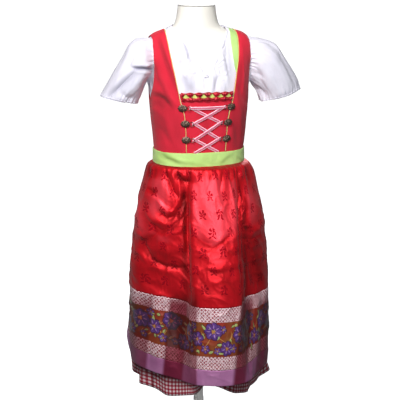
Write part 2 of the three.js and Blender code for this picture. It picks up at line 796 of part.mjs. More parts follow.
function bowTail(side) {
  const top = (BAND_LOW_Z + BAND_HIGH_Z - KNOT.high) / 2 + 0.45;
  return (u, v) => {
    const z = top - TAIL.reach * v;
    const half = mix(5, TAIL.wide / 2, ramp(v, 0, 0.4));
    const x = side * (6.5 + 10 * ramp(v, 0, 0.4) + TAIL.spread * v + mix(-half, half, u));
    const y = tailDepth(BAND_LOW_Z - z) + TAIL.wave * Math.sin(9 * v + side);
    return [x, y, z];
  };
}

// Lacing: the hooks' heights above the waist, and flat ribbons between their rings in two layers
const HOOKS = [131, 92, 51];
const HOOK = {
  wide: 20,
  high: 15,
  ring: 4.6,
  wire: 1.1,
  thick: 1.8,
  clear: 3.0,
  neck: 0.45,
  plateSteps: 16,
  ringSteps: 10,
};
const RIBBON_WIDE = 6;
const ringX = (z) => seamEdge(seamAtHeight(z))[0] - HOOK.wide / 2 - HOOK.ring;
const ribbonLift = (layer) => BODICE.lift + BODICE.thick / 2 + 0.35 + TRIM_THICK / 2 + 1.35 * layer;

function ribbon(from, to, layer) {
  const across = ([x, z]) => [x, z];
  const [a, b] = [across(from), across(to)];
  const way = unit([b[0] - a[0], b[1] - a[1]]);
  return (u, v) => {
    const x = mix(a[0], b[0], u) - way[1] * RIBBON_WIDE * (v - 0.5);
    const z = mix(a[1], b[1], u) + way[0] * RIBBON_WIDE * (v - 0.5);
    const edge = seamEdge(seamAtHeight(z));
    return onForm([x, edge[1] - 12, z], ribbonLift(layer));
  };
}

function ribbonRuns() {
  const ring = (side, i) => {
    const z = WAIST_Z + HOOKS[i];
    return [side * (ringX(z) - 4.2), z];
  };
  const foot = (side) => [side * 22, BAND_HIGH_Z + 4.5];
  return [
    { name: "lace_across", from: ring(-1, 0), to: ring(1, 0), layer: 2 },
    { name: "lace_right_1", from: ring(-1, 0), to: ring(1, 1), layer: 0 },
    { name: "lace_left_1", from: ring(1, 0), to: ring(-1, 1), layer: 1 },
    { name: "lace_right_2", from: ring(-1, 1), to: ring(1, 2), layer: 0 },
    { name: "lace_left_2", from: ring(1, 1), to: ring(-1, 2), layer: 1 },
    { name: "lace_right_3", from: ring(-1, 2), to: foot(1), layer: 0 },
    { name: "lace_left_3", from: ring(1, 2), to: foot(-1), layer: 1 },
  ];
}

// A hook's plate with eight lobes and a ring beside it, as one outline with the ring's hole
function hookGeometry() {
  const ringCentre = -(HOOK.wide / 2 + HOOK.ring - 0.8);
  const outerRing = HOOK.ring + HOOK.wire / 2;
  const plate = arcOf(HOOK.plateSteps, Math.PI - HOOK.neck, (angle) => {
    const lobe = 1 + 0.05 * Math.cos(8 * angle);
    return [(HOOK.wide / 2) * lobe * Math.cos(angle), (HOOK.high / 2) * lobe * Math.sin(angle)];
  });
  const loop = arcOf(HOOK.ringSteps, Math.PI - HOOK.neck, (angle) => [
    ringCentre - outerRing * Math.cos(angle),
    -outerRing * Math.sin(angle),
  ]);
  const outline = new THREE.Shape([...plate, ...loop].map(([x, y]) => new THREE.Vector2(x, y)));
  const hole = new THREE.Path();
  hole.absarc(ringCentre, 0, HOOK.ring - HOOK.wire / 2, 0, 2 * Math.PI);
  outline.holes.push(hole);
  return new THREE.ExtrudeGeometry(outline, {
    depth: HOOK.thick,
    bevelEnabled: false,
    curveSegments: 6,
  });
}

// Points round an arc from minus to plus its reach
function arcOf(steps, reach, pointAt) {
  return Array.from({ length: steps + 1 }, (_, i) => pointAt(reach * ((2 * i) / steps - 1)));
}

// The same solid on the other side of the body
function mirroredSolid(geometry) {
  const at = geometry.attributes.position;
  const corner = (i) => new THREE.Vector3().fromBufferAttribute(at, i);
  for (let i = 0; i < at.count; i += 3) {
    const [a, b, c] = [corner(i), corner(i + 1), corner(i + 2)];
    [a, c, b].forEach((p, k) => at.setXYZ(i + k, -p.x, p.y, p.z));
  }
  return geometry;
}

// The hook for the left side, lying flat on the bodice at a height above the waist
function placedHook(above) {
  const z = WAIST_Z + above;
  const edge = seamEdge(seamAtHeight(z));
  const lift = BODICE.lift + BODICE.thick / 2 + HOOK.clear;
  const spot = (dx, dz) => onForm([edge[0] + dx, edge[1], z + dz], lift);
  const across = unit(add(spot(8, 0), spot(-14, 0), -1));
  const rise = unit(add(spot(0, 6), spot(0, -6), -1));
  const out = unit(cross(across, rise));
  const square = cross(out, across);
  const at = new THREE.Matrix4().makeBasis(
    new THREE.Vector3(...across),
    new THREE.Vector3(...square),
    new THREE.Vector3(...out),
  );
  at.setPosition(...spot(0, 0));
  return hookGeometry().applyMatrix4(at);
}

// Stand and form
const BASE = { radius: 140, thick: 8, hub: 26, hubHigh: 26 };
const POLE_RADIUS = 12;

function formGeometry() {
  const heights = formKnots.flatMap((z, i) => {
    const fine = i > 0 && z - WAIST_Z > FORM_FINE_FROM;
    return fine ? [(z + formKnots[i - 1]) / 2, z] : [z];
  });
  const rings = heights.map((z) => {
    const row = sectionAt(z);
    return Array.from({ length: FORM_SIDES }, (_, i) => {
      const angle = (2 * Math.PI * i) / FORM_SIDES;
      const [c, s] = [Math.cos(angle), Math.sin(angle)];
      const power = 2 / row.square;
      const depth = s < 0 ? row.front : row.back;
      return [
        row.aside + row.half * Math.sign(c) * Math.abs(c) ** power,
        depth * Math.sign(s) * Math.abs(s) ** power,
        z,
      ];
    });
  });
  const points = rings.flat();
  const faces = [];
  const at = (ring, i) => ring * FORM_SIDES + (i % FORM_SIDES);
  for (let r = 0; r + 1 < rings.length; r++) {
    for (let i = 0; i < FORM_SIDES; i++) {
      faces.push([at(r, i), at(r, i + 1), at(r + 1, i + 1)]);
      faces.push([at(r, i), at(r + 1, i + 1), at(r + 1, i)]);
    }
  }
  const low = points.push([0, 0, formKnots[0] - 4]) - 1;
  const high = points.push([FORM.at(-1).aside, 0, formKnots.at(-1) + 1.5]) - 1;
  for (let i = 0; i < FORM_SIDES; i++) {
    faces.push([low, at(0, i + 1), at(0, i)]);
    faces.push([high, at(rings.length - 1, i), at(rings.length - 1, i + 1)]);
  }
  return geometryOf(points, faces);
}

function baseGeometry() {
  const profile = [
    [0, 0],
    [BASE.radius, 0],
    [BASE.radius, BASE.thick - 3],
    [BASE.radius - 4, BASE.thick],
    [BASE.hub + 3, BASE.thick],
    [BASE.hub - 4, BASE.hubHigh],
    [0, BASE.hubHigh],
  ];
  const geometry = new THREE.LatheGeometry(
    profile.map(([r, z]) => new THREE.Vector2(r, z)),
    24,
  );
  return geometry.rotateX(Math.PI / 2);
}

function poleGeometry() {
  const low = BASE.hubHigh + 0.3;
  const high = formKnots[0] - 4.3;
  const pole = new THREE.CylinderGeometry(POLE_RADIUS, POLE_RADIUS, high - low, 16);
  return pole.rotateX(Math.PI / 2).translate(0, 0, (low + high) / 2);
}

const dirndl = new THREE.Group();

function addPiece(name, geometry, material) {
  const mesh = new THREE.Mesh(geometry, material);
  mesh.name = name;
  dirndl.add(mesh);
  return mesh;
}

function addForm() {
  addPiece("form_torso", formGeometry(), formSkin);
  addPiece("form_pole", poleGeometry(), standPaint);
  addPiece("form_base", baseGeometry(), standPaint);
}

const seams = { u: SEAM / 2, v: SEAM / 2 };

// Rows lie closer together over the shoulder.
const PANEL_DOWNS = [...even(4, 0, 0.5), ...even(8, 0.5, 1).slice(1)];

function addBodyPanels(stem, layer, edges, material, cols) {
  for (const { name, inner, side } of edges) {
    const outer = sideAndArmhole(layer.seam, side, layer.spread, layer.lift);
    const shape = { cols, downs: PANEL_DOWNS, thick: layer.thick };
    for (const { name: sideName, sign } of SIDES) {
      const panel = drawnIn(bodyPanel(edgeThrough(inner), outer, layer.lift, sign), seams);
      addPiece(`${stem}_${name}_${sideName}`, wall(panel, shape), material);
    }
  }
}

function addBlouse() {
  const layer = { ...BLOUSE, seam: BLOUSE_SIDE, spread: BLOUSE_SPREAD };
  const edges = [
    { name: "front", inner: BLOUSE_FRONT_EDGE, side: FRONT },
    { name: "back", inner: BLOUSE_BACK_EDGE, side: BACK },
  ];
  addBodyPanels("blouse", layer, edges, whiteCotton, 8);
  for (const { name: side, sign } of SIDES) {
    const downs = even(7);
    const cols = downs.map((v) => (v > 0.8 ? 48 : 24));
    const sleeve = wall(sleeveSurface(side, sign), { cols, downs, thick: BLOUSE.thick, ring: true });
    addPiece(`blouse_sleeve_${side}`, sleeve, whiteCotton);
  }
}

function addBodice() {
  const layer = { ...BODICE, seam: BODICE_SIDE, spread: BODICE_SPREAD };
  const edges = [
    { name: "front", inner: BODICE_FRONT_EDGE, side: FRONT },
    { name: "back", inner: BODICE_BACK_EDGE, side: BACK },
  ];
  addBodyPanels("bodice", layer, edges, redCotton, 7);
  const centre = (u, v) => centreFront(u, mix(WAIST_Z, CENTRE_TOP_Z, v), BODICE.lift);
  const shape = { cols: 8, downs: even(6), thick: BODICE.thick };
  addPiece("bodice_centre", wall(drawnIn(centre, seams), shape), redCotton);
}

function addTrim() {
  for (const { name, sign } of SIDES) addPiece(`piping_${name}`, pipingGeometry(sign), greenCotton);
  const facing = drawnIn(bodyPanel(facingInner, facingOuter, FACING.lift, 1), seams);
  addPiece("neck_facing", wall(facing, { cols: 2, downs: even(9), thick: FACING.thick }), greenCotton);
  const lip = { cols: RUCHE.mouths * 4, downs: even(2), thick: TRIM_THICK };
  addPiece("ruche_upper", wall(rucheLip(true), lip), rucheRed);
  addPiece("ruche_lower", wall(rucheLip(false), lip), rucheRed);
  const strip = (u, v) =>
    centreFront(mix(0.03, 0.97, u), mix(RUCHE_LOW_Z + 3, RUCHE_HIGH_Z - 5, v), RUCHE_LIFT + 0.6);
  addPiece("ruche_backing", wall(strip, { cols: 10, downs: even(1), thick: TRIM_THICK }), greenCotton);
}

function addLacing() {
  HOOKS.forEach((above, i) => {
    addPiece(`hook_left_${i + 1}`, placedHook(above), antiqueBrass);
    addPiece(`hook_right_${i + 1}`, mirroredSolid(placedHook(above)), antiqueBrass);
  });
  for (const { name, from, to, layer } of ribbonRuns()) {
    const shape = { cols: 6, downs: even(1), thick: TRIM_THICK };
    addPiece(name, wall(ribbon(from, to, layer), shape), laceRibbon);
  }
}

// How far below the waist the skirt's rows lie, and the apron's below its band
const SKIRT_ROWS = [0, 18, 33, 58, 98, 155, 215, 285, 360, 440, 520, SKIRT_LENGTH];
const APRON_SHARES = [0, 0.03, 0.08, 0.16, 0.28, 0.44, 0.62, 0.81, 1];

function addSkirt() {
  const downs = SKIRT_ROWS.map((below) => below / SKIRT_LENGTH);
  const front = drawnIn(skirtPart(RIGHT_SEAM, LEFT_SEAM), { u: SEAM / 2 });
  addPiece("skirt_front", wall(front, { cols: SKIRT_COLS, downs, thick: SKIRT_THICK }), gingham);
  const back = drawnIn(skirtPart(LEFT_SEAM, RIGHT_SEAM + skirtCount), { u: SEAM / 2 });
  const cols = downs.map((v) => (v < 0.2 ? 4 : 2) * BACK_GATHERS);
  addPiece("skirt_back", wall(back, { cols, downs, thick: SKIRT_THICK }), gingham);
}

function addApron() {
  const panel = apronPart(() => BAND_LOW_Z - SEAM, (hem) => hem + HEM_BAND + BORDER + SEAM);
  const cols = APRON_SHARES.map((v) => (v < 0.3 ? 2 * APRON_COLS : APRON_COLS));
  addPiece("apron_panel", wall(panel, { cols, downs: APRON_SHARES, thick: APRON_THICK }), redSatin);
  const border = apronPart((hem) => hem + HEM_BAND + BORDER, (hem) => hem + HEM_BAND + SEAM);
  const lower = { cols: APRON_COLS, thick: APRON_THICK };
  addPiece("apron_border", wall(border, { ...lower, downs: even(2) }), borderSatin);
  const hemBand = apronPart((hem) => hem + HEM_BAND, (hem) => hem);
  addPiece("apron_hem", wall(hemBand, { ...lower, downs: even(1) }), purpleTaffeta);
  const band = waistStrip(BAND_ENDS.right, BAND_ENDS.left, BAND_LOW_Z, BAND_HIGH_Z, BAND.lift);
  addPiece("apron_waistband", wall(band, { cols: 32, downs: even(1), thick: BAND.thick }), greenCotton);
}

function addBow() {
  const ties = [
    { side: "left", from: BAND_ENDS.left + BAND_ENDS.gap, to: 86 },
    { side: "right", from: 180 - BAND_ENDS.left - BAND_ENDS.gap, to: 94 },
  ];
  const strip = { thick: TIE_THICK };
  for (const { side, from, to } of ties) {
    const tie = waistStrip(from, to, BAND_LOW_Z + 2, BAND_HIGH_Z - 2, BAND.lift);
    addPiece(`apron_tie_${side}`, wall(tie, { ...strip, cols: 8, downs: even(1) }), greenCotton);
  }
  const knot = new THREE.SphereGeometry(1, 10, 6);
  knot.scale(KNOT.half, KNOT.deep / 2, KNOT.high / 2);
  knot.translate(0, KNOT.y + KNOT.deep / 2, (BAND_LOW_Z + BAND_HIGH_Z) / 2);
  addPiece("bow_knot", knot, greenCotton);
  for (const { name: side, sign } of SIDES) {
    const loop = wall(bowLoop(sign), { ...strip, cols: 14, downs: even(1) });
    addPiece(`bow_loop_${side}`, loop, greenCotton);
    const tail = wall(bowTail(sign), { ...strip, cols: 2, downs: TAIL.shares });
    addPiece(`bow_tail_${side}`, tail, greenCotton);
  }
}

addForm();
addBlouse();
addBodice();
addTrim();
addLacing();
addSkirt();
addApron();
addBow();

export default dirndl;
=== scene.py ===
import math

import bpy
import numpy as np
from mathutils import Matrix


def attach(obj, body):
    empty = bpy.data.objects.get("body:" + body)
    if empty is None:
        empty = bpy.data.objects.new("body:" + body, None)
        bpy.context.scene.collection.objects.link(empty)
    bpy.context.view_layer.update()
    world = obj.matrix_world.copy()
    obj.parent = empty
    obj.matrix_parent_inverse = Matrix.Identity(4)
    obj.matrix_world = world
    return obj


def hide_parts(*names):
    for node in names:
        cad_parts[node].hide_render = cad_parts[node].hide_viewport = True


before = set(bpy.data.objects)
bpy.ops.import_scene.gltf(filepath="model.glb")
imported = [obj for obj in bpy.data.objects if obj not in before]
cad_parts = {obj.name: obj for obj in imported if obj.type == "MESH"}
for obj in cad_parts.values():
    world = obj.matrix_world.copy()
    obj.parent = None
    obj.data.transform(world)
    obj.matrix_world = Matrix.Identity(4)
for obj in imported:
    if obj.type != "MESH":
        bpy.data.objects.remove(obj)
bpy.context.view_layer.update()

# A girl's dirndl on a dress form. Sizes are in millimetres until a mesh is made, +Z up, the front
# faces -Y, and left and right are the wearer's. Colours are linear.
MM = 0.001

WAIST_Z = 755
HEM_Z = 160
BAND_LOW_Z = WAIST_Z - 18
BAND_HIGH_Z = WAIST_Z + 17
BAND_MIDDLE_Z = (BAND_LOW_Z + BAND_HIGH_Z) / 2

# How far the middle of each layer lies from the form, its thickness, and the ribbon's width
BLOUSE = {"lift": 2.2, "thick": 1.2}
BODICE = {"lift": 5.1, "thick": 1.6}
FACING = {"lift": 5.4, "thick": 1.2}
BAND = {"lift": 7.6, "thick": 1.6}
TIE_THICK = 1.4
SATIN_THICK = 1.0
SKIRT_THICK = 1.2
RIBBON_WIDE = 7.2

# The form's level sections: height above the waist, half width, depth of the front and of the back,
# the superellipse's power, and the middle's shift to the wearer's left
FORM = [
    (-210, 88, 66, 72, 2.2, 0),
    (-200, 104, 78, 86, 2.2, 0),
    (-160, 116, 87, 95, 2.2, 0),
    (-105, 118, 88, 96, 2.2, 0),
    (-55, 113, 84, 86, 2.2, 0),
    (0, 108, 80, 76, 2.2, 0),
    (45, 110, 83, 78, 2.3, 0),
    (95, 115, 88, 82, 2.3, 0),
    (145, 119, 92, 85, 2.3, 0),
    (185, 121, 90, 87, 2.3, 0),
    (220, 126, 84, 87, 2.3, 0),
    (250, 135, 75, 83, 2.3, 0),
    (272, 135, 64, 75, 2.3, 0),
    (285, 130, 57, 68, 2.2, 0),
    (293, 119, 53, 62, 2.2, -1),
    (302, 101, 50, 57, 2.1, -2.5),
    (311, 78, 48, 53, 2.1, -4),
    (319, 62.5, 47, 50, 2.0, -5),
    (330, 54.5, 46.5, 48, 2.0, -5),
    (350, 49.5, 46, 47, 2.0, -5),
    (372, 46.5, 46, 46, 2.0, -5),
]

# The photo's view: places read off it are turned by this much about the form's axis.
VIEW_TURN = math.radians(13.5)
VIEW_PITCH = math.radians(13.4)
VIEW_DISTANCE = 3000
VIEW_HEIGHT = 1346
VIEW_ASIDE = 3.9
VIEW_FOCAL = 1200
VIEW_MIDDLE = 200


# Smooth curves, for arrays
def curve_through(knots, values):
    """A curve through values at knots that doesn't overshoot"""
    k = np.asarray(knots, float)
    v = np.asarray(values, float)
    secant = np.diff(v) / np.diff(k)
    slope = np.empty_like(v)
    slope[0] = secant[0]
    slope[-1] = secant[-1]
    for i in range(1, len(k) - 1):
        a, b = secant[i - 1], secant[i]
        slope[i] = 0 if a * b <= 0 else 2 * a * b / (a + b)

    def at(x):
        x = np.clip(x, k[0], k[-1])
        i = np.clip(np.searchsorted(k, x, side="right") - 1, 0, len(k) - 2)
        span = k[i + 1] - k[i]
        t = (x - k[i]) / span
        t2, t3 = t * t, t * t * t
        near = (2 * t3 - 3 * t2 + 1) * v[i] + (t3 - 2 * t2 + t) * span * slope[i]
        return near + (3 * t2 - 2 * t3) * v[i + 1] + (t3 - t2) * span * slope[i + 1]

    return at


def path_through(points):
    """A Catmull-Rom curve through points, with t from 0 to 1"""
    p = np.asarray(points, float)
    last = len(p) - 1

    def at(t):
        place = np.clip(np.asarray(t, float), 0, 1) * last
        i = np.minimum(place.astype(int), last - 1)
        f = (place - i)[..., None]
        a, b = p[i], p[i + 1]
        before, after = p[np.maximum(i - 1, 0)], p[np.minimum(i + 2, last)]
        bend = (b - before) * f + (2 * before - 5 * a + 4 * b - after) * f**2
        return 0.5 * (2 * a + bend + (3 * a - before - 3 * b + after) * f**3)

    return at


def edge_through(points):
    """A path through points that doesn't overshoot them, with t from 0 to 1"""
    p = np.asarray(points, float)
    knots = np.linspace(0, 1, len(p))
    curves = [curve_through(knots, p[:, k]) for k in range(p.shape[1])]
    return lambda t: np.stack([curve(t) for curve in curves], -1)


def mix(a, b, t):
    return a + (b - a) * t


def ramp(x, low, high):
    t = np.clip((x - low) / (high - low), 0, 1)
    return t * t * (3 - 2 * t)


def bell(x, width):
    return np.exp(-((x / width) ** 2))


def unit(v):
    return v / np.maximum(np.linalg.norm(v, axis=-1, keepdims=True), 1e-9)


def noise(x, y, seed):
    """Smooth noise between -1 and 1 with one lump for each unit"""
    xi, yi = np.floor(x).astype(np.int64), np.floor(y).astype(np.int64)
    fx, fy = x - xi, y - yi
    sx, sy = fx * fx * (3 - 2 * fx), fy * fy * (3 - 2 * fy)

    def lump(i, j):
        n = (i * 374761393 + j * 668265263 + seed * 974634777) & 0xFFFFFFFF
        n = ((n ^ (n >> 13)) * 1274126177) & 0xFFFFFFFF
        return ((n ^ (n >> 16)) & 0xFFFF) / 32767.5 - 1

    low = mix(lump(xi, yi), lump(xi + 1, yi), sx)
    high = mix(lump(xi, yi + 1), lump(xi + 1, yi + 1), sx)
    return mix(low, high, sy)


def halved(low, high, holds):
    """The place between two ends where a test turns false"""
    for _ in range(30):
        middle = (low + high) / 2
        ok = holds(middle)
        low, high = np.where(ok, middle, low), np.where(ok, high, middle)
    return (low + high) / 2


# The form
FORM_ZS = np.arange(540, 1130, 0.5)
FORM_TABLE = [
    curve_through([WAIST_Z + row[0] for row in FORM], [row[k] for row in FORM])(FORM_ZS)
    for k in range(1, 6)
]


def section_at(z):
    return [np.interp(z, FORM_ZS, column) for column in FORM_TABLE]


def outside(p):
    """How far points lie outside the form, level with them"""
    half, front, back, square, aside = section_at(p[..., 2])
    x, y = p[..., 0] - aside, p[..., 1]
    depth = np.where(y < 0, front, back)
    share = (np.abs(x / half) ** square + np.abs(y / depth) ** square) ** (1 / square)
    reach = np.hypot(x, y)
    return reach - reach / np.maximum(share, 1e-6)


PROBES = 0.5 * np.eye(3)


def on_form(guide, lift, turns=9):
    """Points moved along the form's normal until they lie lift outside it"""
    p = np.array(guide, float)
    lift = np.broadcast_to(lift, p.shape[:-1])[..., None]
    for _ in range(turns):
        slope = np.stack([outside(p + s) - outside(p - s) for s in PROBES], -1)
        steep = np.maximum(np.linalg.norm(slope, axis=-1, keepdims=True), 0.05)
        p -= slope * ((outside(p)[..., None] / steep - lift) / steep)
    return p


# The photo's view
def turned(p):
    """A place as seen in the photo's view, turned into the form's own directions"""
    p = np.asarray(p, float)
    c, s = math.cos(VIEW_TURN), math.sin(VIEW_TURN)
    return np.stack([p[..., 0] * c + p[..., 1] * s, -p[..., 0] * s + p[..., 1] * c], -1)


def in_view(p):
    """Where points show in the photo, and how far in front of the form's axis they are"""
    c, s = math.cos(VIEW_TURN), math.sin(VIEW_TURN)
    x = p[..., 0] * c - p[..., 1] * s - VIEW_ASIDE
    y = p[..., 0] * s + p[..., 1] * c
    drop = VIEW_HEIGHT - p[..., 2]
    away = VIEW_DISTANCE + y
    far = away * math.cos(VIEW_PITCH) + drop * math.sin(VIEW_PITCH)
    down = drop * math.cos(VIEW_PITCH) - away * math.sin(VIEW_PITCH)
    return VIEW_MIDDLE + VIEW_FOCAL * x / far, VIEW_MIDDLE + VIEW_FOCAL * down / far, -y


# Grids of cloth
def normals_of(points, ring=False):
    if ring:
        along = np.roll(points, -1, 1) - np.roll(points, 1, 1)
    else:
        along = np.gradient(points, axis=1)
    down = np.gradient(points, axis=0)
    return unit(np.cross(along, down))


def pushed(points, distance):
    """Points moved along their surface's normal"""
    return points + normals_of(points) * np.asarray(distance)[..., None]


def grid(rows, cols, ring=False):
    u = np.linspace(0, 1, cols, endpoint=not ring)
    return np.meshgrid(u, np.linspace(0, 1, rows))


def fine(count):
    return count


def lengths_of(points, ring=False):
    """The cloth's lengths: the longest row, and each row's place down the middle of the columns"""
    closed = np.concatenate([points, points[:, :1]], 1) if ring else points
    across = np.linalg.norm(np.diff(closed, axis=1), axis=2).sum(1).max()
    steps = np.linalg.norm(np.diff(points, axis=0), axis=2).mean(1)
    return across, np.concatenate([[0], np.cumsum(steps)])


def mesh_object(name, points, faces, uvs=None):
    mesh = bpy.data.meshes.new(name)
    mesh.from_pydata((np.asarray(points) * MM).tolist(), [], faces)
    if uvs is not None:
        layer = mesh.uv_layers.new(name="cloth")
        layer.data.foreach_set("uv", np.asarray(uvs, float).ravel())
    mesh.validate()
    mesh.polygons.foreach_set("use_smooth", [True] * len(mesh.polygons))
    obj = bpy.data.objects.new(name, mesh)
    bpy.context.scene.collection.objects.link(obj)
    return obj


def dressed(obj, material, replaces=()):
    """A piece with its material and the CAD nodes that it stands for"""
    obj.data.materials.append(material)
    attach(obj, "root")
    if replaces:
        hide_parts(*replaces)
    return obj


def thickened(obj, thick):
    shell = obj.modifiers.new("thickness", "SOLIDIFY")
    shell.thickness = thick * MM
    shell.offset = 0
    return obj


def set_painted_light(obj, painted_light):
    """The painted light of each point of a cloth: 0 in the deepest painted shade of a fold, up to 1"""
    layer = obj.data.attributes.new("painted_light", "FLOAT", "POINT")
    layer.data.foreach_set("value", np.asarray(painted_light, float).ravel())


def add_cloth(name, points, thick, material, replaces, ring=False, painted_light=None):
    """A piece of cloth from a grid of points, with the area of its cut worked out but not used"""
    rows, cols = points.shape[:2]
    longest, down = lengths_of(points, ring)
    spans = cols if ring else cols - 1
    index = np.arange(rows * cols).reshape(rows, cols)
    nxt = np.roll(index, -1, 1)[:, :spans]
    here = index[:, :spans]
    faces = np.stack([here[:-1], here[1:], nxt[1:], nxt[:-1]], -1).reshape(-1, 4)
    u = np.linspace(0, longest * MM, spans + 1)
    v = -down * MM
    c, r = np.meshgrid(np.arange(spans), np.arange(rows - 1))
    corners = [(c, r), (c, r + 1), (c + 1, r + 1), (c + 1, r)]
    uvs = np.stack([np.stack([u[i], v[j]], -1) for i, j in corners], 2)
    obj = mesh_object(name, points.reshape(-1, 3), faces.tolist(), uvs)
    if painted_light is not None:
        set_painted_light(obj, painted_light)
    dressed(obj, material, replaces)
    thickened(obj, thick)
    diagonals = points[1:, 1:] - points[:-1, :-1], points[1:, :-1] - points[:-1, 1:]
    area = float(np.linalg.norm(np.cross(*diagonals), axis=2).sum() / 2) * MM * MM
    if ring:
        area *= cols / (cols - 1)
    return obj


# Materials
def new_material(name, rough=0.8, metal=0.0):
    mat = bpy.data.materials.new(name)
    mat.use_nodes = True
    tree = mat.node_tree
    tree.nodes.clear()
    out = tree.nodes.new("ShaderNodeOutputMaterial")
    shader = tree.nodes.new("ShaderNodeBsdfPrincipled")
    shader.inputs["Roughness"].default_value = rough
    shader.inputs["Metallic"].default_value = metal
    tree.links.new(shader.outputs[0], out.inputs[0])
    return mat, tree, shader


def node(tree, kind, links=None, **settings):
    made = tree.nodes.new("ShaderNode" + kind)
    for key, value in settings.items():
        setattr(made, key, value)
    for key, source in (links or {}).items():
        socket = made.inputs[key]
        if hasattr(source, "is_output"):
            tree.links.new(source, socket)
        else:
            socket.default_value = source
    return made


def math_node(tree, operation, a, b=0.5, c=0.5, clamp=False):
    made = node(tree, "Math", {0: a, 1: b, 2: c}, operation=operation, use_clamp=clamp)
    return made.outputs[0]


def blend(tree, share, a, b):
    """Colour a where share is 0 and b where it is 1"""
    made = node(tree, "Mix", data_type="RGBA")
    for socket, value in zip((made.inputs[0], made.inputs[6], made.inputs[7]), (share, a, b)):
        if hasattr(value, "is_output"):
            tree.links.new(value, socket)
        else:
            socket.default_value = value
    return made.outputs[2]


# What the colours are multiplied by in the deepest painted shade, where the painted light is 0
FOLD_PAINTED_SHADE = (0.28, 0.025, 0.055, 1)
SATIN_PAINTED_SHADE = (0.14, 0.0, 0.004, 1)
GINGHAM_PAINTED_SHADE = (0.09, 0.035, 0.045, 1)
WHITE_PAINTED_SHADE = (0.2, 0.19, 0.27, 1)
RED_PAINTED_SHADE = (0.1, 0.03, 0.05, 1)
GREEN_PAINTED_SHADE = (0.3, 0.36, 0.14, 1)
# The painted light above which the satin is given a painted highlight
PAINTED_HIGHLIGHT_FROM = 0.79
# The periods of the gingham, the ribbon's ticks and the lace's diamonds, in metres
GINGHAM_PERIOD = 0.0098
RIBBON_PERIOD = 0.0016
LACE_PERIOD = 0.0096


def with_painted_shade(tree, colour, painted_shade_tint=FOLD_PAINTED_SHADE):
    """A colour with painted shade: drawn towards a darker tint where the cloth's painted light is low, in
    its folds
    """
    painted_light = node(tree, "Attribute", attribute_name="painted_light", attribute_type="GEOMETRY")
    share = blend(tree, painted_light.outputs["Fac"], painted_shade_tint, (1, 1, 1, 1))
    made = node(tree, "Mix", data_type="RGBA", blend_type="MULTIPLY")
    made.inputs[0].default_value = 1
    tree.links.new(colour, made.inputs[6])
    tree.links.new(share, made.inputs[7])
    return made.outputs[2]


def with_painted_highlight(tree, colour, painted_highlight):
    """A colour with a painted highlight: drawn towards a lighter one where the cloth's painted light is
    near 1
    """
    painted_light = node(tree, "Attribute", attribute_name="painted_light", attribute_type="GEOMETRY")
    gain = 1 / (1 - PAINTED_HIGHLIGHT_FROM)
    share = math_node(tree, "MULTIPLY_ADD", painted_light.outputs["Fac"], gain, -PAINTED_HIGHLIGHT_FROM * gain, clamp=True)
    return blend(tree, share, colour, painted_highlight)


def cloth_axes(tree):
    """The cloth's own directions in metres: across and down"""
    uv = node(tree, "UVMap", uv_map="cloth")
    parts = node(tree, "SeparateXYZ", {0: uv.outputs[0]})
    return uv.outputs[0], parts.outputs[0], parts.outputs[1]


def rgb(red, green, blue):
    """A linear colour from the values 0 to 255 of a screen"""
    def linear(value):
        value /= 255
        return value / 12.92 if value <= 0.04045 else ((value + 0.055) / 1.055) ** 2.4

    return (linear(red), linear(green), linear(blue), 1)


def patchy(tree, coords, scale, detail, gain, offset):
    """A share from 0 to 1 in soft patches"""
    patches = node(tree, "TexNoise", {"Vector": coords, "Scale": scale, "Detail": detail})
    return math_node(tree, "MULTIPLY_ADD", patches.outputs[0], gain, offset, clamp=True)


def bumped(tree, shader, height, strength, distance):
    bump = node(tree, "Bump", {"Height": height, "Strength": strength, "Distance": distance})
    tree.links.new(bump.outputs[0], shader.inputs["Normal"])


THREAD_SCALE = 2600


def woven(tree, shader, coords, strength=0.12, wrinkle=90):
    """Bumps of threads, and a fainter wrinkling, on the shader's normal"""
    threads = node(tree, "TexNoise", {"Vector": coords, "Scale": THREAD_SCALE, "Detail": 1.0})
    folds = node(tree, "TexNoise", {"Vector": coords, "Scale": wrinkle, "Detail": 4.0})
    height = math_node(tree, "MULTIPLY_ADD", folds.outputs[0], 2.2, threads.outputs[0])
    bumped(tree, shader, height, strength, 0.0012)


def plain_cloth(name, light, dark, rough=0.85, sheen=0.15, strength=0.12, wrinkle=90, patch=16,
                painted_shade_tint=None):
    """A cotton or taffeta in one colour, with faint uneven patches, and painted shade in its folds where a
    shade tint is given
    """
    mat, tree, shader = new_material(name, rough)
    coords, _, _ = cloth_axes(tree)
    colour = blend(tree, patchy(tree, coords, patch, 5.0, 1.6, -0.3), light, dark)
    colour = with_painted_shade(tree, colour, painted_shade_tint) if painted_shade_tint else colour
    tree.links.new(colour, shader.inputs["Base Color"])
    shader.inputs["Sheen Weight"].default_value = sheen
    woven(tree, shader, coords, strength, wrinkle)
    return mat


def checks(tree, across, down, period):
    """Two stripes of a gingham, each 1 on its dark half, from the cloth's directions"""
    stripes = []
    for way in (across, down):
        place = math_node(tree, "MULTIPLY", way, 1 / period)
        wave = math_node(tree, "PINGPONG", place, 0.5)
        stripes.append(math_node(tree, "GREATER_THAN", wave, 0.25))
    return stripes


def gingham_material():
    mat, tree, shader = new_material("gingham_cotton", 0.85)
    coords, across, down = cloth_axes(tree)
    a, b = checks(tree, across, down, GINGHAM_PERIOD)
    white, middle, red = rgb(238, 230, 232), rgb(196, 96, 112), rgb(150, 10, 34)
    one = blend(tree, a, white, middle)
    both = blend(tree, a, middle, red)
    # painted shade in the folds, and a painted shadow under the apron
    tree.links.new(with_painted_shade(tree, blend(tree, b, one, both), GINGHAM_PAINTED_SHADE), shader.inputs["Base Color"])
    woven(tree, shader, coords, strength=0.1, wrinkle=60)
    return mat


